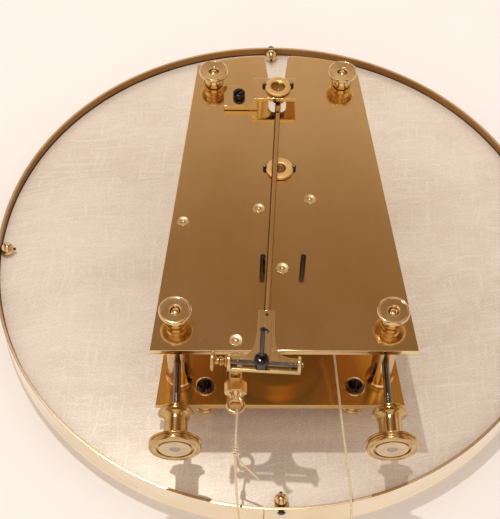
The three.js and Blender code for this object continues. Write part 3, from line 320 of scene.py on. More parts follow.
def plainCoat(name, finish, patch, detail, patches, rough, glossyPlain):
    material, tree, point, clean, deep = newMaterial(name, finish)
    noise = addNode(tree, "TexNoise", {"Scale": perMm / patch, "Detail": detail}, {"Vector": point})
    share = addNode(tree, "MapRange", {1: patches[0], 2: patches[1], 3: 0.0, 4: 1.0}, {0: noise})
    tint = addNode(tree, "Mix", {"data_type": "RGBA", 6: clean, 7: deep}, {0: share})
    roughness = addNode(tree, "MapRange", {1: noiseLow, 2: noiseHigh, 3: rough[0], 4: rough[1]},
                        {0: noise})
    shown = addNode(tree, "BsdfPrincipled", {"Metallic": 0.0, "IOR": plainIor},
                    {"Base Color": tint.outputs[2], "Roughness": roughness})
    if glossyPlain:
        plain = addNode(tree, "Emission", {"Strength": 1.0}, {"Color": tint.outputs[2]})
        rays = addNode(tree, "LightPath")
        mirrored = addNode(tree, "Math", {"operation": "MULTIPLY", 1: glossyPlain},
                           {0: rays.outputs["Is Glossy Ray"]})
        shown = addNode(tree, "MixShader", {}, {0: mirrored, 1: shown, 2: plain})
    addNode(tree, "OutputMaterial", {}, {"Surface": shown})
    return material


backPlateBrass, frontPlateLitBrass, filedBrass = [
    rolledBrass(name, **look) for name, look in rolledLooks.items()]
(turnedBrass, knobBrass, satinBrass, facedBrass, oiledBrass, rodShadeBrass, wheelBrass, rimBrass,
 rimInsideBrass, groundSteel, rodSteel, rivetSteel) = [
    turnedMetal(name, **look) for name, look in turnedLooks.items()]
dialSilver = silveredDial()
blued = bluedSteel()
gutStrand, waxedThread = [twistedStrand(name, **look) for name, look in strandLooks.items()]
wax, tablePaint = [plainCoat(name, **look) for name, look in plainLooks.items()]
print("materials made")


def placed(obj, at=(0, 0, 0), turnedBy=None):
    # a place in millimetres and a turn about the piece's own origin
    obj.matrix_world = Matrix.Translation(Vector(at) * mm) @ (turnedBy or Matrix.Identity(4))
    return obj


def linked(name, mesh):
    obj = bpy.data.objects.new(name, mesh)
    bpy.context.collection.objects.link(obj)
    return obj


def meshObject(name, made, sharp=32):
    # made is a bmesh in millimetres; curved faces are shaded soft and worked edges stay crisp
    bmesh.ops.recalc_face_normals(made, faces=made.faces[:])
    mesh = bpy.data.meshes.new(name)
    bmesh.ops.scale(made, vec=(mm, mm, mm), verts=made.verts[:])
    made.to_mesh(mesh)
    made.free()
    mesh.shade_smooth()
    mesh.set_sharp_from_angle(angle=math.radians(sharp))
    return linked(name, mesh)


def weighted(obj):
    # flat faces stay flat in shading while the small rounded edges take the curve
    modifier = obj.modifiers.new("flatFaces", "WEIGHTED_NORMAL")
    modifier.keep_sharp = True
    return obj


def softened(points, closed, soft):
    # rounds each corner of a run of points with three points on a small arc
    result = []
    count = len(points)
    for i, point in enumerate(points):
        here = Vector(point)
        if not closed and i in (0, count - 1):
            result.append(here)
            continue
        before = Vector(points[i - 1])
        after = Vector(points[(i + 1) % count])
        reach = min(soft, (before - here).length * 0.4, (after - here).length * 0.4)
        if reach < 0.01:
            result.append(here)
            continue
        start = here + (before - here).normalized() * reach
        end = here + (after - here).normalized() * reach
        for share in (0.0, 0.5, 1.0):
            result.append(start.lerp(here, share).lerp(here.lerp(end, share), share))
    return result


def turnedPiece(name, profile, facets=72, soft=0.15, openBy=0.0, openAt=0.0):
    # turned about its own Z from pairs of radius and height: a closed ring where no pair is on the axis.
    # soft rounds its corners; openBy leaves a seam, openAt degrees from the bottom
    isRing = profile[0][0] > 0.001 and profile[-1][0] > 0.001
    run = softened(profile, isRing, soft)
    made = bmesh.new()
    step = (turn - openBy) / facets
    columns = facets + 1 if openBy else facets
    rows = []
    for i in range(columns):
        angle = math.radians(openAt - 90) + openBy / 2 + i * step
        row = []
        for k, p in enumerate(run):
            if p.x > 0.001 or i == 0:
                row.append(made.verts.new((p.x * math.cos(angle), p.x * math.sin(angle), p.y)))
            else:
                row.append(rows[0][k])
        rows.append(row)
    last = len(run) if isRing else len(run) - 1
    for i in range(facets):
        first = rows[i]
        second = rows[(i + 1) % columns]
        for k in range(last):
            corners = []
            for vert in (first[k], second[k], second[(k + 1) % len(run)], first[(k + 1) % len(run)]):
                if vert not in corners:
                    corners.append(vert)
            if len(corners) > 2:
                made.faces.new(corners)
    if openBy:
        made.faces.new(rows[0])
        made.faces.new(rows[-1])
    return weighted(meshObject(name, made))


def lifted(shape, base):
    # a turned shape's pairs of radius and height, raised to a base
    return [(radius, base + height) for radius, height in shape]


def circlePoints(radius, at=(0, 0), count=64):
    angles = [i * turn / count for i in range(count)]
    return [(at[0] + radius * math.cos(a), at[1] + radius * math.sin(a)) for a in angles]


def flatPiece(name, outlines, low, high, bevel=0.2, sharp=32, steps=2):
    # cut from sheet between two heights: the first outline is the edge, the rest are holes
    curve = bpy.data.curves.new(name, "CURVE")
    curve.dimensions = "2D"
    curve.fill_mode = "BOTH"
    curve.extrude = ((high - low) / 2 - bevel) * mm
    curve.bevel_depth = bevel * mm
    curve.bevel_resolution = steps
    curve.offset = -bevel * mm
    for outline in outlines:
        spline = curve.splines.new("POLY")
        spline.points.add(len(outline) - 1)
        for point, (x, y) in zip(spline.points, outline):
            point.co = (x * mm, y * mm, 0, 1)
        spline.use_cyclic_u = True
    holder = linked(name + "Outline", curve)
    bpy.context.view_layer.update()
    filled = bpy.data.meshes.new_from_object(holder.evaluated_get(bpy.context.evaluated_depsgraph_get()))
    bpy.data.objects.remove(holder)
    bpy.data.curves.remove(curve)
    made = bmesh.new()
    made.from_mesh(filled)
    bpy.data.meshes.remove(filled)
    bmesh.ops.remove_doubles(made, verts=made.verts[:], dist=0.000002)
    bmesh.ops.scale(made, vec=(perMm, perMm, perMm), verts=made.verts[:])
    bmesh.ops.translate(made, vec=(0, 0, (low + high) / 2), verts=made.verts[:])
    return weighted(meshObject(name, made, sharp))


def carved(obj, *cutters):
    # cuts the cutters' shapes out of the piece and drops them
    for cutter in cutters:
        modifier = obj.modifiers.new("cut", "BOOLEAN")
        modifier.operation = "DIFFERENCE"
        modifier.solver = "EXACT"
        modifier.object = cutter
    bpy.context.view_layer.update()
    mesh = bpy.data.meshes.new_from_object(obj.evaluated_get(bpy.context.evaluated_depsgraph_get()))
    obj.modifiers.clear()
    old = obj.data
    obj.data = mesh
    bpy.data.meshes.remove(old)
    for cutter in cutters:
        bpy.data.objects.remove(cutter)
    mesh.set_sharp_from_angle(angle=math.radians(32))
    return weighted(obj)


def squaredBar(name, size, at=(0, 0, 0), bevel=0.15, turnedBy=None):
    # a bar with worked edges: its size and the place of its middle
    made = bmesh.new()
    bmesh.ops.create_cube(made, size=1.0)
    bmesh.ops.scale(made, vec=size, verts=made.verts[:])
    if bevel:
        bmesh.ops.bevel(made, geom=made.edges[:], offset=bevel, segments=2, profile=0.5, affect="EDGES")
    return placed(weighted(meshObject(name, made)), at, turnedBy)


def threadedRod(name, radius, low, high, pitch, depth, around=20, cuts=6):
    # screw rod about its own Z with a real helix of the given pitch and depth
    made = bmesh.new()
    count = int((high - low) / pitch * cuts)
    rings = []
    for i in range(count + 1):
        z = low + (high - low) * i / count
        fade = min(1.0, (z - low) / pitch, (high - z) / pitch)
        ring = []
        for k in range(around):
            angle = k * turn / around
            groove = 0.5 + 0.5 * math.cos(turn * z / pitch - angle)
            r = radius - depth * groove * fade - (1 - fade) * depth * 1.2
            ring.append(made.verts.new((r * math.cos(angle), r * math.sin(angle), z)))
        rings.append(ring)
    for first, second in zip(rings, rings[1:]):
        for k in range(around):
            after = (k + 1) % around
            made.faces.new((first[k], first[after], second[after], second[k]))
    made.faces.new(rings[0])
    made.faces.new(rings[-1])
    return meshObject(name, made, 60)


def slottedScrew(name, head, thick, shank, shankLong, slotWide, slotDeep, slotAngle, dome):
    # a domed head with a saw-cut slot, its underside at height 0
    profile = [(0, -shankLong), (shank, -shankLong), (shank, 0), (head - 0.15, 0), (head, 0.2),
               (head, thick - dome - 0.3), (head - 0.3, thick - dome), (head * 0.75, thick - dome * 0.35),
               (head * 0.4, thick - dome * 0.07), (0, thick)]
    screw = turnedPiece(name, profile, 48, 0.08)
    slotTurn = Matrix.Rotation(slotAngle, 4, "Z")
    cutter = squaredBar(name + "Slot", (head * 2.4, slotWide, slotDeep * 2), (0, 0, thick), 0, slotTurn)
    return carved(screw, cutter)


def joinedPieces(name, *objs):
    # makes one piece of several, about the first one's origin
    made = bmesh.new()
    base = objs[0].matrix_world.copy()
    bpy.context.view_layer.update()
    graph = bpy.context.evaluated_depsgraph_get()
    for obj in objs:
        copied = bpy.data.meshes.new_from_object(obj.evaluated_get(graph))
        copied.transform(base.inverted() @ obj.matrix_world)
        made.from_mesh(copied)
        bpy.data.meshes.remove(copied)
    for obj in objs:
        bpy.data.objects.remove(obj)
    mesh = bpy.data.meshes.new(name)
    made.to_mesh(mesh)
    made.free()
    mesh.shade_smooth()
    mesh.set_sharp_from_angle(angle=math.radians(32))
    joined = linked(name, mesh)
    joined.matrix_world = base
    return weighted(joined)


def finished(obj, material, body, slot, *replaced):
    # gives a placed piece its material and its body, and hides the nodes that it stands for; slot is not
    # used
    obj.data.materials.clear()
    obj.data.materials.append(material)
    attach(obj, body)
    if replaced:
        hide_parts(*replaced)
    return obj


downTheClock = Matrix.Rotation(math.radians(90), 4, "X")    # a piece's own Z towards minus Y
acrossTheClock = Matrix.Rotation(math.radians(90), 4, "Y")  # a piece's own Z along X
print("tools ready")

# Camera: its place in millimetres, where its right and top point, and a 36 mm sensor
camera = {"place": (-17.59, -271.52, 400.01), "right": (0.99987, -0.00619, 0.01498),
          "up": (-0.00341, 0.82308, 0.56792), "lens": 82.65, "sensor": 36.0}


def makeCamera():
    data = bpy.data.cameras.new("photoView")
    data.sensor_width = camera["sensor"]
    data.sensor_fit = "AUTO"
    data.lens = camera["lens"]
    data.clip_start = 0.01
    data.clip_end = 20
    obj = linked("photoView", data)
    right = Vector(camera["right"])
    up = Vector(camera["up"])
    back = right.cross(up)
    place = Vector(camera["place"]) * mm
    obj.matrix_world = Matrix(((right.x, up.x, back.x, place.x), (right.y, up.y, back.y, place.y),
                               (right.z, up.z, back.z, place.z), (0, 0, 0, 1)))
    bpy.context.scene.camera = obj


makeCamera()
print("camera set")

# Gut line: the same route as the part's, from the drum to the coil and back to the hook's ring
gut = {"radius": 0.4, "exit": (16.6, -43.1, 43.5), "steps": 36, "length": 0.893,
       "fromDrum": ((18.6, -60, 37.2), (20.7, -85, 31.7), (22.9, -110, 26), (22.6, -121, 20),
                    (19.4, -128.6, 9)),
       "toHook": ((-10.5, -126.5, 13), (-14.2, -119, 22.4), (-15.6, -108, 28.6), (-15.9, -97, 34.6)),
       "ringEnd": (-15.5, -87.05, 40.1)}
# The coil lies 0.35 mm nearer than the faceted one of the part, so that its round strand fits the box
coil = {"x": 4.3, "y": -135.65, "inner": 4.1, "pitch": 1.42, "rise": 1.42, "layers": 4,
        "turnsInLayer": 4.125, "ramp": 0.3, "stepsInTurn": 20}


def windingPoint(turns):
    layer = min(int(turns / coil["turnsInLayer"]), coil["layers"] - 1)
    inLayer = turns - layer * coil["turnsInLayer"]
    inward = inLayer if layer % 2 == 0 else coil["turnsInLayer"] - inLayer
    radius = coil["inner"] + coil["pitch"] * (coil["turnsInLayer"] - inward)
    left = coil["turnsInLayer"] - inLayer
    climb = max(0.0, 1 - left / coil["ramp"]) if layer < coil["layers"] - 1 else 0.0
    height = gut["radius"] + 0.05 + (layer + climb) * coil["rise"]
    angle = -turns * turn
    return Vector((coil["x"] + radius * math.cos(angle), coil["y"] + radius * math.sin(angle), height))


def smoothRun(points, steps):
    # the centripetal curve through the points
    run = [Vector(p) for p in points]
    run = [run[0] * 2 - run[1], *run, run[-1] * 2 - run[-2]]
    spans = len(run) - 3
    result = []
    for i in range(steps + 1):
        place = min(i / steps * spans, spans - 1e-9)
        k = int(place)
        share = place - k
        a, b, c, d = run[k:k + 4]
        first, middle, third = [max((q - p).length ** 0.5, 1e-4) for p, q in ((a, b), (b, c), (c, d))]
        leaving = ((b - a) / first - (c - a) / (first + middle) + (c - b) / middle) * middle
        arriving = ((c - b) / middle - (d - b) / (middle + third) + (d - c) / third) * middle
        cube = share ** 3
        square = share ** 2
        result.append(b * (2 * cube - 3 * square + 1) + leaving * (cube - 2 * square + share)
                      + c * (3 * square - 2 * cube) + arriving * (cube - square))
    return result


def strand(name, points, radius, sides=3):
    # round strand along points in millimetres
    curve = bpy.data.curves.new(name, "CURVE")
    curve.dimensions = "3D"
    curve.bevel_depth = radius * mm
    curve.bevel_resolution = sides
    curve.use_fill_caps = True
    spline = curve.splines.new("POLY")
    spline.points.add(len(points) - 1)
    for point, place in zip(spline.points, points):
        point.co = (*(place * mm), 1)
    spline.use_smooth = True
    return linked(name, curve)


def makeLine():
    allTurns = coil["layers"] * coil["turnsInLayer"]
    coilStart = windingPoint(0)
    coilEnd = windingPoint(allTurns)
    intoCoil = [coilStart + Vector((1.2, 4.4, 1.45)), coilStart + Vector((0.05, 0.6, 0))]
    outOfCoil = [coilEnd + Vector((-0.05, 0.6, 0)), coilEnd + Vector((-0.8, 4, 1.2))]
    leadIn = smoothRun([gut["exit"], *gut["fromDrum"], *intoCoil], gut["steps"])
    leadOut = smoothRun([*outOfCoil, *gut["toHook"], gut["ringEnd"]], gut["steps"])
    coilSteps = int(allTurns * coil["stepsInTurn"])
    wound = [windingPoint(allTurns * i / coilSteps) for i in range(coilSteps + 1)]
    run = strand("gut_line", [*leadIn, *wound, *leadOut], gut["radius"])
    return finished(run, gutStrand, "frame", "gut", "line_from_barrel", "line_coil", "line_to_hook")


# Waxed thread tied twice round the coil's section
tie = {"radius": 0.2, "rounds": 2, "spacing": 0.5, "slant": 0.15, "clear": 1.0, "corner": 0.9,
       "tail": 0.9, "angle": -35}


def makeTie():
    inner = coil["inner"] - tie["clear"]
    outer = coil["inner"] + coil["pitch"] * coil["turnsInLayer"] + tie["clear"]
    top = 1.8 + (coil["layers"] - 1) * coil["rise"]
    outwards = Vector((math.cos(math.radians(tie["angle"])), math.sin(math.radians(tie["angle"]))))
    corners = [(inner, 0.2), (outer, 0.2), (outer, top), (inner, top)]
    points = []
    for number in range(tie["rounds"]):
        for radius, height in softened(corners, True, tie["corner"]):
            aside = tie["spacing"] * number + (radius - 7) * tie["slant"]
            x = coil["x"] + radius * outwards.x - aside * outwards.y
            y = coil["y"] + radius * outwards.y + aside * outwards.x
            points.append(Vector((x, y, height + 0.05)))
    points.append(points[0] + Vector((tie["tail"], 0, 0)))
    return finished(strand("coil_tie", points, tie["radius"], 2), waxedThread, "frame", "gut")


# Knot below the ring: a turn round the ring's wire, turns wrapped round the line and a loose end
knot = {"ringAt": (-15.5, -86.05, 40.5), "ringTurn": 1.12, "middle": (-15.9, -97.2, 34.5), "long": 3.4,
        "turns": 4, "stepsInTurn": 16, "radius": 0.68, "ringSteps": 28, "lean": 0.15,
        "tail": ((-14.6, -99.6, 32.2), (-12.7, -100.9, 30), (-10.5, -102.2, 28), (-8.1, -103.75, 26))}


def makeKnot():
    centre = Vector(knot["ringAt"])
    aroundRing = []
    for i in range(knot["ringSteps"] + 1):
        angle = i * turn / knot["ringSteps"]
        outwards = Vector((knot["lean"] * math.sin(angle), -math.cos(angle), math.sin(angle)))
        aroundRing.append(centre + outwards * knot["ringTurn"])
    # it sits on the ring's wire and swivels with it
    finished(strand("ring_turn", aroundRing, gut["radius"] * 0.95), gutStrand, "line_hook", "gut")
    along = (Vector(gut["toHook"][2]) - Vector(gut["ringEnd"])).normalized()
    sideways = Vector((1, 0, 0))
    upwards = sideways.cross(along)
    middle = Vector(knot["middle"])
    steps = knot["turns"] * knot["stepsInTurn"]
    wraps = []
    for i in range(steps + 1):
        angle = i / knot["stepsInTurn"] * turn
        swell = knot["radius"] * (0.8 + 0.2 * math.sin(math.pi * i / steps))
        wraps.append(middle + along * (knot["long"] * (i / steps - 0.5))
                     + (sideways * math.cos(angle) + upwards * math.sin(angle)) * swell)
    tail = smoothRun([wraps[-1], *knot["tail"]], 20)
    return finished(strand("line_knot", wraps + tail[1:], gut["radius"] * 0.9), gutStrand, "frame", "gut")


gutLine = makeLine()
linePieces = [makeTie(), makeKnot()]
print("gut line made")

# Bezel, dial and the ball posts that hold them together
gap = 0.3
bezel = {"radius": 110, "depth": 14.6, "wall": 1.1, "lipInner": 101.5, "lipThick": 1.3, "seam": 0.0022,
         "seamAt": -3.1}
dial = {"back": 11.1, "thick": 1.5, "radius": 108.6, "handHole": 4.4, "windingHole": 4.4}
post = {"ball": 2.6, "centre": 13.3, "at": 106.0,
        "tip": ((0, -0.85), (0.33, -0.7), (0.6, -0.35), (0.6, 0.6), (0, 0.6)),
        "screw": {"head": 1.5, "thick": 0.8, "shank": 0.9, "slotWide": 0.4, "slotDeep": 0.45,
                  "slotAngle": 0.5, "dome": 0.3}}
great = (0, -42.1)


def makeRim():
    radius = bezel["radius"]
    wall = bezel["wall"]
    inner = bezel["lipInner"]
    depth = bezel["depth"]
    lip = bezel["lipThick"]
    profile = [(inner, 0.5), (inner + 0.5, 0), (radius - 1, 0), (radius, 0.9), (radius, 4.2),
               (radius - 0.12, 4.5), (radius - 0.12, depth - 0.9), (radius, depth - 0.5), (radius, depth),
               (radius - wall, depth), (radius - wall, lip + 0.5), (inner, lip)]
    ring = turnedPiece("rim", profile, 288, 0.12, bezel["seam"], bezel["seamAt"])
    finished(ring, rimBrass, "frame", "brass", "bezel")
    ring.data.materials.append(rimInsideBrass)
    for face in ring.data.polygons:
        place = face.center * perMm
        inside = math.hypot(place.x, place.y) < radius - wall + 0.15 and place.z > lip + 1
        face.material_index = 1 if inside else 0


def makeDial():
    outlines = [circlePoints(dial["radius"], (0, 0), 288), circlePoints(dial["handHole"]),
                circlePoints(dial["windingHole"], great)]
    sheet = flatPiece("dial_plate", outlines, dial["back"] - dial["thick"], dial["back"], 0.15)
    finished(sheet, dialSilver, "frame", "dial_silver", "dial")


# Front of the dial: a minute ring and hour numerals of bars, engraved and filled with black wax
marks = {"proud": 0.03, "ringInner": 90.5, "ringOuter": 94.5, "ringWide": 0.25, "minuteWide": 0.35,
         "fiveWide": 0.9, "numeralAt": 80, "tall": 12, "thick": 1.7, "thin": 0.6, "lean": 2, "stepOne": 3.2,
         "stepFive": 6.4, "ringSteps": 180}
numerals = ("I", "II", "III", "IIII", "V", "VI", "VII", "VIII", "IX", "X", "XI", "XII")


def makeDialMarks():
    low = dial["back"] - dial["thick"] - marks["proud"]
    high = low + marks["proud"] * 2
    made = bmesh.new()

    def bar(corners):
        # corners run round a bar; it stands a little proud of the dial's face
        lower = [made.verts.new((x, y, low)) for x, y in corners]
        upper = [made.verts.new((x, y, high)) for x, y in corners]
        made.faces.new(lower)
        made.faces.new(upper)
        for i in range(len(corners)):
            after = (i + 1) % len(corners)
            made.faces.new((lower[i], lower[after], upper[after], upper[i]))

    def onDial(across, out, angle):
        # across is to the right as the dial is read from its front
        x = -across
        return (x * math.cos(angle) - out * math.sin(angle), x * math.sin(angle) + out * math.cos(angle))

    def stroke(x0, y0, x1, y1, wide, angle):
        half = wide / 2
        ends = ((x0 - half, y0), (x0 + half, y0), (x1 + half, y1), (x1 - half, y1))
        bar([onDial(x, y, angle) for x, y in ends])

    ringSteps = marks["ringSteps"]
    for inner in (marks["ringInner"], marks["ringOuter"]):
        outer = inner + marks["ringWide"]
        for i in range(ringSteps):
            start = i * turn / ringSteps
            end = (i + 1) * turn / ringSteps
            corners = ((inner, start), (inner, end), (outer, end), (outer, start))
            bar([onDial(0, out, angle) for out, angle in corners])
    for minute in range(60):
        wide = marks["fiveWide"] if minute % 5 == 0 else marks["minuteWide"]
        stroke(0, marks["ringInner"], 0, marks["ringOuter"], wide, minute * turn / 60)
    bottom = marks["numeralAt"] - marks["tall"] / 2
    top = marks["numeralAt"] + marks["tall"] / 2
    lean = marks["lean"]
    for hour, letters in enumerate(numerals, 1):
        angle = hour * turn / 12
        widths = [marks["stepOne"] if letter == "I" else marks["stepFive"] for letter in letters]
        across = -sum(widths) / 2
        for letter, wide in zip(letters, widths):
            middle = across + wide / 2
            if letter == "I":
                stroke(middle, bottom, middle, top, marks["thick"], angle)
            if letter == "V":
                stroke(middle, bottom, middle - lean, top, marks["thick"], angle)
                stroke(middle, bottom, middle + lean, top, marks["thin"], angle)
            if letter == "X":
                stroke(middle + lean, bottom, middle - lean, top, marks["thick"], angle)
                stroke(middle - lean, bottom, middle + lean, top, marks["thin"], angle)
            across += wide
    finished(meshObject("dial_marks", made), wax, "frame", "dial_silver")


def makePost(hour, angle):
    # a ball that presses on the dial, drawn to the rim by a blued screw whose tip shows on its inner side
    ball = post["ball"]
    foot = dial["back"] + gap - post["centre"]
    start = math.asin(foot / ball)
    profile = [(0, foot)]
    for i in range(24):
        a = start + (math.pi / 2 - start) * i / 24
        profile.append((ball * math.cos(a), ball * math.sin(a)))
    profile.append((0, ball))
    spin = Matrix.Rotation(math.radians(angle), 4, "Z")
    body = turnedPiece("ball_post_%s" % hour, profile, 56, 0.0)
    place = spin @ Vector((0, post["at"], post["centre"]))
    finished(placed(body, place, spin), turnedBrass, "frame", "brass", "rim_post_%s" % hour)
    outwards = spin @ Matrix.Rotation(math.radians(-90), 4, "X")
    shankLong = bezel["radius"] + gap - post["at"] - 1
    screw = slottedScrew("screwHead", shankLong=shankLong, **post["screw"])
    placed(screw, spin @ Vector((0, bezel["radius"] + gap, post["centre"])), outwards)
    end = turnedPiece("screwTip", post["tip"], 32, 0.06)
    placed(end, spin @ Vector((0, post["at"] - ball, post["centre"])), outwards)
    finished(joinedPieces("post_screw_%s" % hour, screw, end), blued, "frame", "blued_steel")


makeRim()
makeDial()
makeDialMarks()
for hour, angle in ((12, 0), (3, 90), (6, 180), (9, 270)):
    makePost(hour, angle)
print("bezel and dial made")

# Plates: the back one has a long slot for the crutch, and its crown is an arc
plate = {"front": 21.4, "thick": 2.75, "back": 59.6, "bottom": -74.7, "bottomHalf": 44.2, "shoulder": 53,
         "shoulderHalf": 30.7, "crown": 58.6, "bevel": 0.28, "tenonBore": 2.3, "studBore": 1.55,
         "bushBore": 3.5, "screwBore": 1.3,
         "pipe": ((1.1, 12.4), (1.6, 12.4), (1.6, 21.9), (1.1, 21.9))}
slot = {"left": -4.8, "right": 4, "waistLeft": -3.6, "waistRight": 2.9, "waist": 47.4, "foot": 32,
        "apex": 29}
frontTop = plate["front"] + plate["thick"]
backTop = plate["back"] + plate["thick"]
pillarAt = {"lower_left": (-35.9, -63.4), "lower_right": (35.9, -63.4), "upper_left": (-24.4, 43.6),
            "upper_right": (24.4, 43.6)}
footAt = {"left": (-26.75, -67.25), "right": (26.75, -67.25), "top": (0, 50)}
centres = {"escape": (0, 0), "centre": (-7.8, -16.5), "third": (10.5, -12.3), "great": great,
           "detent": (-34.5, -22.3), "pallets": (0, 33.6), "hook": (-15.9, -70.8),
           "escapeBush": (-0.1, 0.9), "palletBush": (-0.25, 34.8), "cockScrew": (-14.8, 34.5)}


def bend(start, handle, end, steps=10):
    # a curve that leaves towards its handle, without its first point
    a = Vector(start)
    b = Vector(handle)
    c = Vector(end)
    result = []
    for i in range(steps):
        share = (i + 1) / steps
        result.append(tuple(a.lerp(b, share).lerp(b.lerp(c, share), share)))
    return result


def plateOutline(withSlot):
    half = plate["shoulderHalf"]
    top = plate["crown"]
    rise = top - plate["shoulder"]
    radius = (rise ** 2 + half ** 2) / 2 / rise
    sweep = math.asin(half / radius)

    def onCrown(x):
        return top - radius + math.sqrt(radius ** 2 - x ** 2)

    arc = []
    for i in range(61):
        x = radius * math.sin(sweep - i * sweep / 30)
        arc.append((x, onCrown(x)))
    run = [(-plate["bottomHalf"], plate["bottom"]), (plate["bottomHalf"], plate["bottom"])]
    if not withSlot:
        return run + arc
    right = [p for p in arc if p[0] > slot["right"] + 2.4]
    left = [p for p in arc if p[0] < slot["left"] - 0.2]
    inner = [(slot["right"] + 1.7, onCrown(slot["right"] + 1.7))]
    handle = (slot["right"] + 0.1, onCrown(slot["right"]) - 0.4)
    inner += bend(inner[0], handle, (slot["right"], top - 3), 6)
    inner += [(slot["waistRight"], slot["waist"]), (slot["waistRight"], slot["foot"])]
    middle = ((slot["waistLeft"] + slot["waistRight"]) / 2, slot["apex"])
    inner += bend(inner[-1], (slot["waistRight"], slot["apex"]), middle, 8)
    inner += bend(middle, (slot["waistLeft"], slot["apex"]), (slot["waistLeft"], slot["foot"]), 8)
    inner += [(slot["waistLeft"], slot["waist"]), (slot["left"], top - 1.4)]
    inner.append((slot["left"], onCrown(slot["left"])))
    return run + right + inner + left


def makePlates():
    frontHoles = [circlePoints(plate["tenonBore"], at, 40) for at in pillarAt.values()]
    sheet = flatPiece("front", [plateOutline(False), *frontHoles], plate["front"], frontTop, plate["bevel"])
    front = joinedPieces("front_plate_polished", sheet, turnedPiece("fixedPipe", plate["pipe"], 48))
    # painted light: the top face takes the brighter orange copy, the edges the back plate's own brass
    finished(front, frontPlateLitBrass, "frame", "brass", "front_plate")
    front.data.materials.append(backPlateBrass)
    for face in front.data.polygons:
        face.material_index = 1 if abs(face.normal.z) < 0.6 else 0
    holes = [circlePoints(plate["studBore"], at, 32) for at in pillarAt.values()]
    holes.append(circlePoints(plate["bushBore"], centres["escapeBush"], 48))
    holes.append(circlePoints(plate["screwBore"], centres["cockScrew"], 32))
    back = flatPiece("back_plate_polished", [plateOutline(True), *holes], plate["back"], backTop,
                     plate["bevel"])
    finished(back, backPlateBrass, "frame", "brass", "back_plate")


# Pivots in the back plate: a polished ring, the pale dish for oil in it and the arbor's domed end.
# Each has the radius of its ring and of the end, and the body that the end turns with
pivots = {"centre": (2.2, 0.95, "centre"), "third": (2.2, 0.95, "third"), "great": (2.3, 0.95, "drum"),
          "detent": (2.1, 0.9, "detent"), "hook": (2.3, 1.0, "frame")}


def makePivot(name, ringRadius, domeRadius, body):
    at = centres[name]
    dish = ringRadius - 0.34
    rim = [(dish + 0.01, 0.02), (ringRadius, 0.02), (ringRadius, 0.12), (ringRadius - 0.2, 0.42),
           (dish + 0.01, 0.44)]
    hollow = [(0, 0.01), (dish, 0.01), (dish, 0.42), (domeRadius * 0.6, 0.08), (0, 0.06)]
    dome = [(0, 0.03), (domeRadius, 0.03), (domeRadius, 0.2), (domeRadius * 0.85, 0.42),
            (domeRadius * 0.5, 0.55), (0, 0.6)]
    for start, shape, facets, soft, material, ridesOn, finish in (
            ("pivot_ring_", rim, 56, 0.05, turnedBrass, "frame", "brass"),
            ("pivot_oil_", hollow, 48, 0.02, facedBrass, "frame", "brass"),
            ("pivot_end_", dome, 40, 0.05, facedBrass, body, "steel")):
        part = turnedPiece(start + name, lifted(shape, backTop), facets, soft)
        finished(placed(part, (*at, 0)), material, ridesOn, finish)


# Pillars with a trumpet flare at each end, and the turned nuts that hold the back plate down
pillar = {"radius": 3.9, "flare": 5, "stud": 1.45, "studTall": 6.2, "tenon": 2.2, "screwBore": 1.42,
          "screwLong": 8, "screwHeight": 41}
# how far in and how far from its end each point of a flare is
flareShape = ((0, 0.3), (0, 0.9), (-0.45, 1.8), (-0.8, 3), (-1.02, 4.6), (-1.1, 7))
nutShape = ((1.6, 0), (3.3, 0), (3.65, 0.3), (3.7, 1.2), (3.55, 2.2), (3.1, 2.9), (2.75, 3.2), (2.65, 3.5),
            (2.85, 3.75), (3.1, 3.9), (3.1, 4.15), (2.8, 4.35), (2.7, 4.6), (2.75, 4.9), (3.2, 5.2),
            (4.6, 5.35), (5.2, 5.45), (5.5, 5.75), (5.55, 6.1), (5.45, 6.45), (5.2, 6.6), (5.1, 6.82),
            (4.75, 6.84), (4.6, 6.68), (2.1, 6.6), (1.95, 6.45), (1.6, 5.9))


def makePillar(name, at):
    low = frontTop + gap
    high = plate["back"] - gap
    base = backTop + gap
    stud = pillar["stud"]
    tenon = pillar["tenon"]
    radius = pillar["radius"]
    flare = pillar["flare"]
    foot = plate["front"] + 0.1
    profile = [(0, foot), (tenon - 0.2, foot), (tenon, foot + 0.3), (tenon, low), (flare - 0.2, low)]
    profile += [(flare + inwards, low + rise) for inwards, rise in flareShape]
    profile.append((radius, (low + high) / 2))
    profile += [(flare + inwards, high - rise) for inwards, rise in reversed(flareShape)]
    profile += [(flare - 0.2, high), (stud, high)]
    studEnd = ((stud, -0.5), (stud * 0.85, -0.2), (stud * 0.5, 0), (0, 0.05))
    profile += lifted(studEnd, base + pillar["studTall"])
    body = placed(turnedPiece("pillar_turned_" + name, profile, 80), (*at, 0))
    if name.startswith("lower"):
        bore = pillar["screwBore"]
        deep = pillar["screwLong"]
        hole = turnedPiece("hole", ((0, 0), (bore, 0), (bore, deep), (0, deep)), 32, 0)
        body = carved(body, placed(hole, (*at, pillar["screwHeight"]), downTheClock))
    finished(body, turnedBrass, "frame", "brass", "pillar_" + name)
    nutBody = turnedPiece("nut_" + name, lifted(nutShape, base), 96, 0.08)
    finished(placed(nutBody, (*at, 0)), turnedBrass, "frame", "brass", "pillar_nut_" + name)


# Dial feet below the front plate, each with a blued screw and a washer above it
foot = {"radius": 4.6, "neck": 3.4,
        "screw": {"head": 2.85, "thick": 1.5, "shank": 1.1, "shankLong": 10, "slotWide": 0.55,
                  "slotDeep": 0.8, "slotAngle": 1.5, "dome": 0.45}}
washerShape = ((1.3, 0.02), (3.8, 0.02), (3.8, 0.1), (3.45, 0.24), (3, 0.28), (1.3, 0.28))


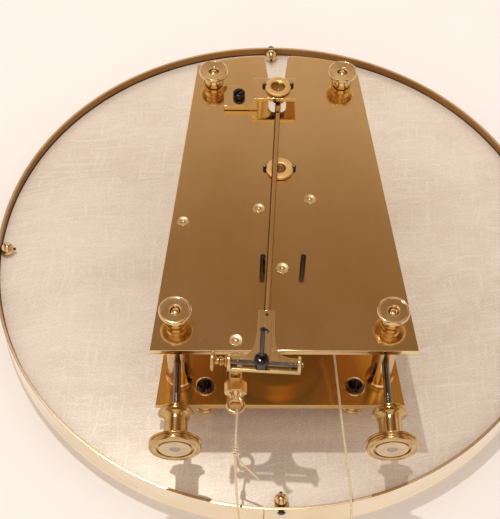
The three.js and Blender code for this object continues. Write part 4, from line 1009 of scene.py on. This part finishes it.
def makeFoot(name, at):
    base = dial["back"] + gap
    top = plate["front"] - gap
    radius = foot["radius"]
    neck = foot["neck"]
    lower = lifted(((1.2, 0), (radius - 0.2, 0), (radius, 0.25), (radius, 1.3), (radius - 0.25, 1.6),
                    (neck + 0.3, 1.8), (neck, 2.8)), base)
    upper = lifted(((neck, -1.6), (neck + 0.3, -1.2), (neck + 0.3, 0), (1.2, 0)), top)
    body = turnedPiece("foot_" + name, lower + upper, 64)
    finished(placed(body, (*at, 0)), turnedBrass, "frame", "brass", "dial_foot_" + name)
    washer = turnedPiece("foot_washer_" + name, lifted(washerShape, frontTop), 56, 0.05)
    finished(placed(washer, (*at, 0)), turnedBrass, "frame", "brass")
    screw = slottedScrew("foot_screw_cut_" + name, **foot["screw"])
    finished(placed(screw, (*at, frontTop + gap)), blued, "frame", "blued_steel", "foot_screw_" + name)


makePlates()
for name, at in pillarAt.items():
    makePillar(name, at)
for name, at in footAt.items():
    makeFoot(name, at)
for name, look in pivots.items():
    makePivot(name, *look)
print("plates, pillars and feet made")

# Seat screws: a dark threaded rod and a turned brass knob with a two-beaded disc
seat = {"across": 35.9, "height": pillar["screwHeight"], "rod": 1.3, "rodFrom": 64.5, "rodTo": 87,
        "pitch": 0.7, "threadDeep": 0.05}
seatKnobShape = ((1.4, 85.1), (5, 85.1), (5.2, 85.3), (5.2, 85.7), (4.8, 86), (5.3, 86.3), (6, 86.6),
                 (6, 87.2), (5, 87.6), (4.4, 88.2), (4.05, 89), (3.95, 90), (3.95, 95.3), (4.1, 95.8),
                 (4.5, 96.3), (5.2, 96.6), (5.6, 96.95), (8.3, 97), (8.7, 97.2), (8.8, 97.6), (8.7, 97.9),
                 (8.1, 98.05), (8, 98.4), (8.1, 98.7), (8.6, 98.85), (8.8, 99.2), (8.75, 99.65), (8.4, 100),
                 (8.05, 100.08), (7.9, 99.85), (7.6, 99.8), (7.3, 100.02), (6.4, 100.05), (6.25, 99.9),
                 (6.2, 99.2), (1.4, 99.2))
seatFaceShape = ((1.6, 99.22), (5.5, 99.22), (5.5, 99.9), (5.35, 100.02), (1.7, 100.02), (1.6, 99.9))
seatCoreShape = ((0, 86.5), (1.3, 86.5), (1.3, 99.4), (0, 99.4))
seatRivetShape = ((0, 99.2), (1.55, 99.2), (1.55, 99.95), (1.2, 100.08), (0, 100.1))


def makeSeatScrew(side, x):
    at = (x, 0, seat["height"])
    body = "seat_" + side
    knob = turnedPiece("seat_knob_turned_" + side, seatKnobShape, 112, 0.08)
    finished(placed(knob, at, downTheClock), knobBrass, body, "brass", "seat_knob_" + side)
    face = turnedPiece("seat_face_" + side, seatFaceShape, 80, 0.05)
    finished(placed(face, at, downTheClock), facedBrass, body, "brass")
    rod = threadedRod("rod", seat["rod"], seat["rodFrom"], seat["rodTo"], seat["pitch"], seat["threadDeep"],
                      28, 8)
    core = turnedPiece("core", seatCoreShape, 40, 0.05)
    screw = joinedPieces("seat_screw_cut_" + side, rod, core)
    finished(placed(screw, at, downTheClock), rodSteel, body, "steel", "seat_screw_" + side)
    rivet = turnedPiece("seat_rivet_" + side, seatRivetShape, 40, 0.05)
    finished(placed(rivet, at, downTheClock), rivetSteel, body, "steel")


makeSeatScrew("left", -seat["across"])
makeSeatScrew("right", seat["across"])
print("seat screws made")

# Pallet cock: a bent bar screwed down on its left, with its bridge over the slot
cock = {"left": -20.5, "step": -7.9, "stepThick": 1.6, "right": 6.6, "low": 29.6, "high": 40,
        "footThick": 2.3, "bridge": 6.8, "bridgeThick": 1.7, "bridgeBore": 3.42, "cutFrom": 60, "cutTo": 75,
        "screw": {"head": 2.25, "thick": 2.2, "shank": 1.2, "shankLong": 5, "slotWide": 0.75,
                  "slotDeep": 0.9, "slotAngle": 0.7, "dome": 0.15}}


def makeCock():
    base = backTop + gap
    top = backTop + cock["bridge"]
    under = top - cock["bridgeThick"]
    step = cock["step"]
    outer = step - cock["stepThick"]
    footTop = base + cock["footThick"]
    side = [(cock["left"], base), (step, base), (step, under), (cock["right"], under), (cock["right"], top),
            (outer, top), (outer, footTop), (cock["left"], footTop)]
    body = flatPiece("cock", [side], 0, cock["high"] - cock["low"], 0.22)
    placed(body, (0, cock["high"], 0), downTheClock)
    low = cock["cutFrom"]
    high = cock["cutTo"]
    holes = []
    for bore, at, facets in ((cock["bridgeBore"], centres["palletBush"], 40),
                             (plate["screwBore"], centres["cockScrew"], 32)):
        hole = turnedPiece("hole", ((0, low), (bore, low), (bore, high), (0, high)), facets, 0)
        holes.append(placed(hole, (*at, 0)))
    body = carved(body, *holes)
    cockBody = joinedPieces("pallet_cock_bent", linked("origin", bpy.data.meshes.new("origin")), body)
    finished(cockBody, backPlateBrass, "frame", "brass", "pallet_cock")
    screw = slottedScrew("cock_screw_cut", **cock["screw"])
    placed(screw, (*centres["cockScrew"], footTop + gap))
    finished(screw, blued, "frame", "blued_steel", "cock_screw")


# Eccentric bushes: a satin faced ring round a dark oil sink, with two small clamp screws at its edge
bushes = {
    "pallet_bush": {"at": centres["palletBush"], "radius": 4.78, "low": backTop + cock["bridge"] + gap,
                    "thick": 0.9, "sink": 2.6, "deep": 0.5, "spigotLow": backTop + 5.2, "spigot": 3.3,
                    "bore": 2.0, "clamps": ((-5.3, 35.9), (4.85, 36.1)), "clampBase": backTop + 6.82,
                    "clampTall": 1.6, "turns": "pallets"},
    "escape_bush": {"at": centres["escapeBush"], "radius": 4.9, "low": backTop + gap, "thick": 1.2,
                    "sink": 2.2, "deep": 0.6, "spigotLow": plate["back"] + 0.1, "spigot": 3.4,
                    "bore": 1.9, "clamps": ((-5.35, 1.6), (5.1, 1.7)), "clampBase": backTop + 0.02,
                    "clampTall": 1.85, "turns": "escape"}}
bushEndShape = ((0, -0.3), (0.65, -0.3), (0.65, 0.1), (0.52, 0.28), (0.2925, 0.38), (0, 0.42))
clamp = {"head": 0.8, "shank": 0.48, "shankLong": 1.2, "slotWide": 0.26, "slotDeep": 0.35, "dome": 0.15}
clampLitTop = 0.2


def makeBush(name, bush):
    low = bush["low"]
    top = low + bush["thick"]
    radius = bush["radius"]
    sink = bush["sink"]
    floor = top - bush["deep"]
    bore = bush["bore"]
    spigot = bush["spigot"]
    profile = [(bore, bush["spigotLow"]), (spigot, bush["spigotLow"]), (spigot, low), (radius - 0.15, low),
               (radius, low + 0.15), (radius, top - 0.25), (radius - 0.25, top), (sink + 0.3, top),
               (sink, top - 0.12), (sink - 0.1, floor + 0.05), (bore, floor)]
    ring = turnedPiece(name + "_faced", profile, 96, 0.06)
    finished(placed(ring, (*bush["at"], 0)), satinBrass, "frame", "brass", name)
    dish = [(0, floor - 0.02), (sink - 0.12, floor - 0.02), (sink - 0.08, top - 0.16),
            (sink - 0.5, floor + 0.12), (0, floor + 0.03)]
    sinkPiece = turnedPiece(name + "_oil_sink", dish, 72, 0.03)
    finished(placed(sinkPiece, (*bush["at"], 0)), oiledBrass, "frame", "brass")
    end = turnedPiece(name + "_pivot_end", lifted(bushEndShape, floor), 40, 0.04)
    finished(placed(end, (*centres[bush["turns"]], 0)), groundSteel, bush["turns"], "steel")
    for number, place in enumerate(bush["clamps"], 1):
        screw = slottedScrew("%s_clamp_%d" % (name, number), thick=bush["clampTall"],
                             slotAngle=0.4 + number, **clamp)
        finished(placed(screw, (*place, bush["clampBase"])), blued, "frame", "blued_steel")
        # painted highlight: their flat tops get a pale steel so that they read as lit
        screw.data.materials.append(rivetSteel)
        litTopFrom = (bush["clampTall"] - clampLitTop) * mm
        for face in screw.data.polygons:
            face.material_index = 1 if face.normal.z > 0.98 and face.center.z > litTopFrom else 0


makeCock()
for name, bush in bushes.items():
    makeBush(name, bush)
print("cock and bushes made")

# Crutch and beat adjuster: built upright about the pallet arbor, then swung to where they hang
restSwing = Matrix.Rotation(math.radians(-3.4), 4, "Z")
crutch = {"level": 64.55, "thick": 1.7, "rod": 1.9, "rodThick": 1.95, "rodEdge": 0.38, "hub": 2.7,
          "hubBore": 1.2, "rodEnd": -95.7, "end": -118.2, "slotLong": 17, "earBore": 0.98,
          "slotWide": 1.8, "ear": 2.8, "earThick": 1.1, "earFrom": -32, "earSweep": 244, "cross": 11.8,
          "halfWidths": ((2.8, -95.3), (2.85, -104), (3.3, -108), (4.3, -110.7), (5.8, -112.3), (8, -112.9),
                         (11.8, -113.1))}
# lip is the pin's hooked end: how far out and how far above the ball's middle each of its points is
beat = {"at": -116.2, "height": 67.5, "screw": 0.9, "screwFrom": -16.3, "block": 1.9, "blockCorner": 0.7,
        "blockHigh": 69.6, "guide": 0.8, "collar": 2.4, "blockTop": 71.3, "pin": 0.75, "pinTop": 89,
        "ball": 1.0, "ballFrom": 0.85, "lip": ((0.5, 0.2), (1.2, 0.1), (1.6, -0.5), (1.62, -1.2)),
        "lipRadius": 0.36, "offset": -0.9, "pitch": 0.5, "threadDeep": 0.08}
beatKnobShape = ((1, 11.9), (1.8, 11.9), (1.95, 12.1), (1.95, 12.35), (1.75, 12.55), (1.25, 12.8),
                 (1.15, 13.2), (1.35, 13.5), (1.6, 13.8), (1.6, 14.05), (1.35, 14.3), (1.1, 14.7),
                 (1.1, 15.2), (1.3, 15.6), (1.9, 15.9), (3.2, 16.1), (3.45, 16.3), (3.45, 16.85),
                 (3.2, 17.1), (1, 17.1))
crutchRivetShape = ((0, -0.5), (0.55, -0.5), (0.55, 0.05), (0.35, 0.2), (0, 0.25))
crutchRivets = {"rod": -97, "top": -8.1}


def swung(obj, at=(0, 0, 0), local=None):
    # places a piece built about the pallet arbor, swung with the pallets
    place = Matrix.Translation(Vector((*centres["pallets"], 0)) * mm) @ restSwing
    obj.matrix_world = place @ Matrix.Translation(Vector(at) * mm) @ (local or Matrix.Identity(4))
    return obj


def makeCrutch():
    level = crutch["level"]
    top = level + crutch["thick"]
    right = [*crutch["halfWidths"], (crutch["cross"], crutch["end"])]
    outline = [*right, *[(-x, y) for x, y in reversed(right)]]
    half = crutch["slotLong"] / 2
    wide = crutch["slotWide"] / 2
    at = beat["at"]
    opening = [(half, at - wide), (half, at + wide), (-half, at + wide), (-half, at - wide)]
    spade = flatPiece("spade", [outline, opening], level, top, 0.25)
    length = -crutch["rodEnd"]
    rod = squaredBar("rod", (crutch["rod"], length, crutch["rodThick"]),
                     (0, -length / 2, top - crutch["rodThick"] / 2), crutch["rodEdge"])
    bore = crutch["hubBore"]
    outer = crutch["hub"]
    hubShape = [(bore, level), (outer - 0.2, level), (outer, level + 0.25), (outer, top - 0.25),
                (outer - 0.2, top), (bore, top)]
    hub = turnedPiece("hub", hubShape, 56)
    arch = []
    for i in range(33):
        angle = math.radians(crutch["earFrom"] + crutch["earSweep"] * i / 32)
        height = beat["height"] + crutch["ear"] * math.sin(angle)
        arch.append((at + crutch["ear"] * math.cos(angle), max(height, top - 0.3)))
    earHole = circlePoints(crutch["earBore"], (at, beat["height"]), 32)
    earTurn = Matrix(((0, 0, 1, 0), (1, 0, 0, 0), (0, 1, 0, 0), (0, 0, 0, 1)))
    ears = []
    for start in (-crutch["cross"], crutch["cross"] - crutch["earThick"]):
        ear = flatPiece("ear", [arch, earHole], 0, crutch["earThick"], 0.22)
        ears.append(placed(ear, (start, 0, 0), earTurn))
    body = swung(joinedPieces("crutch_filed", spade, rod, hub, *ears))
    finished(body, filedBrass, "pallets", "brass", "crutch")
    # painted shade: the rod's left side gets a dark brass so that it reads as in shadow
    body.data.materials.append(rodShadeBrass)
    for face in body.data.polygons:
        face.material_index = 1 if face.normal.x < -0.3 and face.center.y > crutch["rodEnd"] * mm else 0
    for name, y in crutchRivets.items():
        rivet = turnedPiece("crutch_rivet_" + name, lifted(crutchRivetShape, top), 32, 0.05)
        finished(swung(rivet, (0, y, 0)), blued, "pallets", "blued_steel")


def makeCrutchPin():
    # squared block with chamfered corners, a collar and the long pin with its small ball and hooked lip
    size = beat["block"]
    low = crutch["level"] + crutch["thick"] + gap
    inset = size - beat["blockCorner"]
    square = [(size, -inset), (size, inset), (inset, size), (-inset, size), (-size, inset), (-size, -inset),
              (-inset, -size), (inset, -size)]
    high = beat["blockHigh"]
    block = flatPiece("block", [square], low, high, 0.2)
    guideLow = crutch["level"] + 0.1
    guide = turnedPiece("guide", [(0, guideLow), (beat["guide"], guideLow), (beat["guide"], low + 0.2),
                                  (0, low + 0.2)], 24, 0.02)
    top = beat["blockTop"]
    wide = beat["collar"]
    collarShape = [(0, high - 0.2), (wide - 0.2, high - 0.2), (wide, high), (wide, top - 0.9),
                   (wide - 0.3, top - 0.4), (wide - 0.9, top - 0.08), (0.9, top), (0, top)]
    collar = turnedPiece("collar", collarShape, 56, 0.1)
    pin = beat["pin"]
    ball = beat["ball"]
    centre = beat["pinTop"] - ball
    profile = [(0, top - 0.5), (pin, top - 0.5), (pin, centre - 1.4), (pin * 0.78, centre - 0.8)]
    for i in range(12):
        angle = beat["ballFrom"] + (math.pi - beat["ballFrom"]) * i / 12
        profile.append((ball * math.sin(angle), centre - ball * math.cos(angle)))
    profile.append((0, beat["pinTop"]))
    long = turnedPiece("pin", profile, 40, 0.03)
    lip = [(out, 0, centre + rise) for out, rise in beat["lip"]]
    hooked = strand("lip", smoothRun(lip, 12), beat["lipRadius"], 4)
    piece = joinedPieces("crutch_pin_blued", block, guide, collar, long, hooked)
    swung(piece, (beat["offset"], beat["at"], 0))
    finished(piece, blued, "crutch_pin", "blued_steel", "crutch_pin")


def makeBeatScrew():
    at = (0, beat["at"], beat["height"])
    screw = threadedRod("beat_screw_cut", beat["screw"], beat["screwFrom"], crutch["cross"] + 0.8,
                        beat["pitch"], beat["threadDeep"], 24, 8)
    swung(screw, at, acrossTheClock)
    finished(screw, rodSteel, "beat_screw", "steel", "beat_screw")
    knob = turnedPiece("beat_knob_turned", beatKnobShape, 80, 0.06)
    swung(knob, at, Matrix.Rotation(math.radians(-90), 4, "Y"))
    finished(knob, knobBrass, "beat_screw", "brass", "beat_knob")


makeCrutch()
makeCrutchPin()
makeBeatScrew()
print("crutch and beat adjuster made")

# Banking pins: blued steel with a narrow groove below the rounded top
banking = {"across": 6.85, "down": -42.2, "radius": 0.95, "stand": 7.8}


def makeBankingPins():
    r = banking["radius"]
    top = backTop + banking["stand"]
    low = plate["back"] + 0.1
    profile = [(0, low), (r, low), (r, top - 1.4), (r - 0.1, top - 1.1), (r, top - 0.85), (r, top - 0.3),
               (r * 0.6, top - 0.05), (0, top)]
    for name, x in (("left", -banking["across"]), ("right", banking["across"])):
        pin = turnedPiece("banking_pin_turned_" + name, profile, 40, 0.05)
        placed(pin, (x, banking["down"], 0))
        finished(pin, blued, "frame", "blued_steel", "banking_pin_" + name)


# Hook of the line: a turned neck, a six-sided body, a cone and a ring of round wire
hook = {"x": -15.9, "height": 40.5, "body": 3.85, "hollow": 0.035, "from": 74.4, "to": 79.2, "ringAt": 83.4,
        "ring": 2.65, "wire": 0.68}
hookPostShape = ((0, 21.6), (1.5, 21.6), (1.5, 24.45), (3, 24.45), (3.2, 24.8), (3.2, 59), (3, 59.3),
                 (1.5, 59.3), (1.5, backTop - 0.1), (1.1, backTop - 0.02), (0, backTop))
hookNeckShape = ((0, 71), (1.2, 71), (1.2, 72.2), (1.45, 72.3), (1.45, 72.6), (1.25, 72.75), (1.25, 72.95),
                 (2.2, 73.05), (2.4, 73.25), (2.4, 73.5), (2.2, 73.7), (1.5, 73.8), (1.5, 74.2),
                 (2.6, 74.35), (2.6, 74.8), (0, 74.8))
hookConeShape = ((0, 79.1), (2.9, 79.1), (2.7, 79.5), (2, 80.2), (1.5, 81), (1.25, 81.4), (0, 81.5))


def makeHook():
    post = turnedPiece("hook_post_turned", hookPostShape, 64)
    finished(placed(post, (*centres["hook"], 0)), turnedBrass, "frame", "brass", "hook_post")
    neck = turnedPiece("neck", hookNeckShape, 48, 0.06)
    radius = hook["body"]
    hexagon = []
    for i in range(6):
        start, end = [Vector((math.cos(k * turn / 6), math.sin(k * turn / 6))) * radius for k in (i, i + 1)]
        for step in range(6):
            inward = 1 - hook["hollow"] * math.sin(math.pi * step / 6)
            hexagon.append(tuple(start.lerp(end, step / 6) * inward))
    body = flatPiece("body", [hexagon], hook["from"], hook["to"], 0.3)
    cone = turnedPiece("cone", hookConeShape, 48)
    section = circlePoints(hook["wire"], (hook["ring"], 0), 18)
    ring = turnedPiece("ring", section, 56, 0)
    for part in (neck, body, cone):
        placed(part, (0, 0, 0), downTheClock)
    placed(ring, (0, -hook["ringAt"], 0))
    origin = linked("origin", bpy.data.meshes.new("origin"))
    whole = joinedPieces("line_hook_turned", origin, neck, body, cone, ring)
    placed(whole, (hook["x"], 0, hook["height"]))
    finished(whole, turnedBrass, "line_hook", "brass", "line_hook")


makeBankingPins()
makeHook()
print("pins and hook made")

# The part's own train, arbors and hands keep their shapes and get these metals
nodeMetals = (
    (turnedBrass, ("barrel",)),
    (wheelBrass, ("great_wheel", "centre_wheel", "third_wheel", "escape_wheel", "motion_driver",
                  "cannon_wheel", "minute_wheel", "hour_wheel")),
    (groundSteel, ("barrel_arbor", "centre_arbor", "third_arbor", "escape_arbor", "pallets", "detent",
                   "minute_stud")),
    (blued, ("hour_hand", "minute_hand", "seconds_hand")))
for material, names in nodeMetals:
    for name in names:
        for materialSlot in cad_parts[name].material_slots:
            materialSlot.material = material
print("train and hands given their metals")

# Table, the window's small bright lamp and the room round the clock
tableHalf = 6000
window = {"place": (-156, 197, 1200), "radius": 10, "energy": 16, "colour": (1.0, 0.985, 0.965)}
# mirrored: what metal sees from the horizon up to the ceiling; beside: darker walls left and right
room = {"fill": "#E9E0D8", "view": "#FFFFFF", "front": "#F6E2C6", "frontShare": 0.8,
        "beside": ((0.0, "#FFFFFF"), (0.15, "#F2E6D6"), (0.2, "#99724C"), (0.28, "#8A643E"),
                   (0.34, "#FFFFFF"), (0.66, "#FFFFFF"), (0.71, "#8A643E"), (0.78, "#99724C"),
                   (0.84, "#EBDCC8"), (0.9, "#FFFFFF"), (0.94, "#A8835C"), (1.0, "#FFFFFF")),
        "mirrored": ((0.0, "#FFFDF9"), (0.35, "#FAF1E6"), (0.6, "#E6CDB2"), (0.7, "#D3B59B"),
                     (0.74, "#C8AA90"), (0.78, "#AD8F73"), (0.81, "#99785A"), (0.87, "#8F6F52"),
                     (1.0, "#7C6048"))}


def makeStage():
    made = bmesh.new()
    bmesh.ops.create_grid(made, x_segments=2, y_segments=2, size=tableHalf)
    floor = meshObject("table_top", made)
    floor.data.materials.append(tablePaint)
    lamp = bpy.data.lights.new("window", "POINT")
    lamp.energy = window["energy"]
    lamp.shadow_soft_size = window["radius"] * mm
    lamp.color = window["colour"]
    placed(linked("window", lamp), window["place"])


def fillStops(band, stops):
    # colours and their places along a ramp's band
    for element, (place, code) in zip(band.elements, (stops[0], stops[-1])):
        element.position = place
        element.color = linear(code)
    for place, code in stops[1:-1]:
        band.elements.new(place).color = linear(code)


def makeRoom():
    world = bpy.data.worlds.new("room")
    bpy.context.scene.world = world
    world.use_nodes = True
    tree = world.node_tree
    tree.nodes.clear()
    direction = addNode(tree, "TexCoord").outputs["Generated"]
    parts = addNode(tree, "SeparateXYZ", {}, {0: direction})
    upwards = addNode(tree, "ValToRGB", {}, {0: parts.outputs[2]})
    fillStops(upwards.color_ramp, room["mirrored"])
    across = addNode(tree, "MapRange", {1: -1.0, 2: 1.0, 3: 0.0, 4: 1.0}, {0: parts.outputs[0]})
    beside = addNode(tree, "ValToRGB", {}, {0: across})
    fillStops(beside.color_ramp, room["beside"])
    frontShare = addNode(tree, "MapRange", {1: 0.3, 2: -0.1, 3: 0.0, 4: room["frontShare"]},
                         {0: parts.outputs[1]})
    lit = addNode(tree, "Mix", {"data_type": "RGBA", 7: linear(room["front"])},
                  {0: frontShare, 6: upwards})
    walls = addNode(tree, "Mix", {"data_type": "RGBA", "blend_type": "MULTIPLY", 0: 1.0},
                    {6: lit.outputs[2], 7: beside})
    rays = addNode(tree, "LightPath")
    plain = {"data_type": "RGBA", 6: linear(room["view"]), 7: linear(room["fill"])}
    diffuse = addNode(tree, "Mix", plain, {0: rays.outputs["Is Diffuse Ray"]})
    shown = addNode(tree, "Mix", {"data_type": "RGBA"},
                    {0: rays.outputs["Is Glossy Ray"], 6: diffuse.outputs[2], 7: walls.outputs[2]})
    surface = addNode(tree, "Background", {"Strength": 1.0}, {0: shown.outputs[2]})
    addNode(tree, "OutputWorld", {}, {0: surface})


makeStage()
makeRoom()
bpy.context.scene.view_settings.view_transform = "Standard"
print("scene complete")
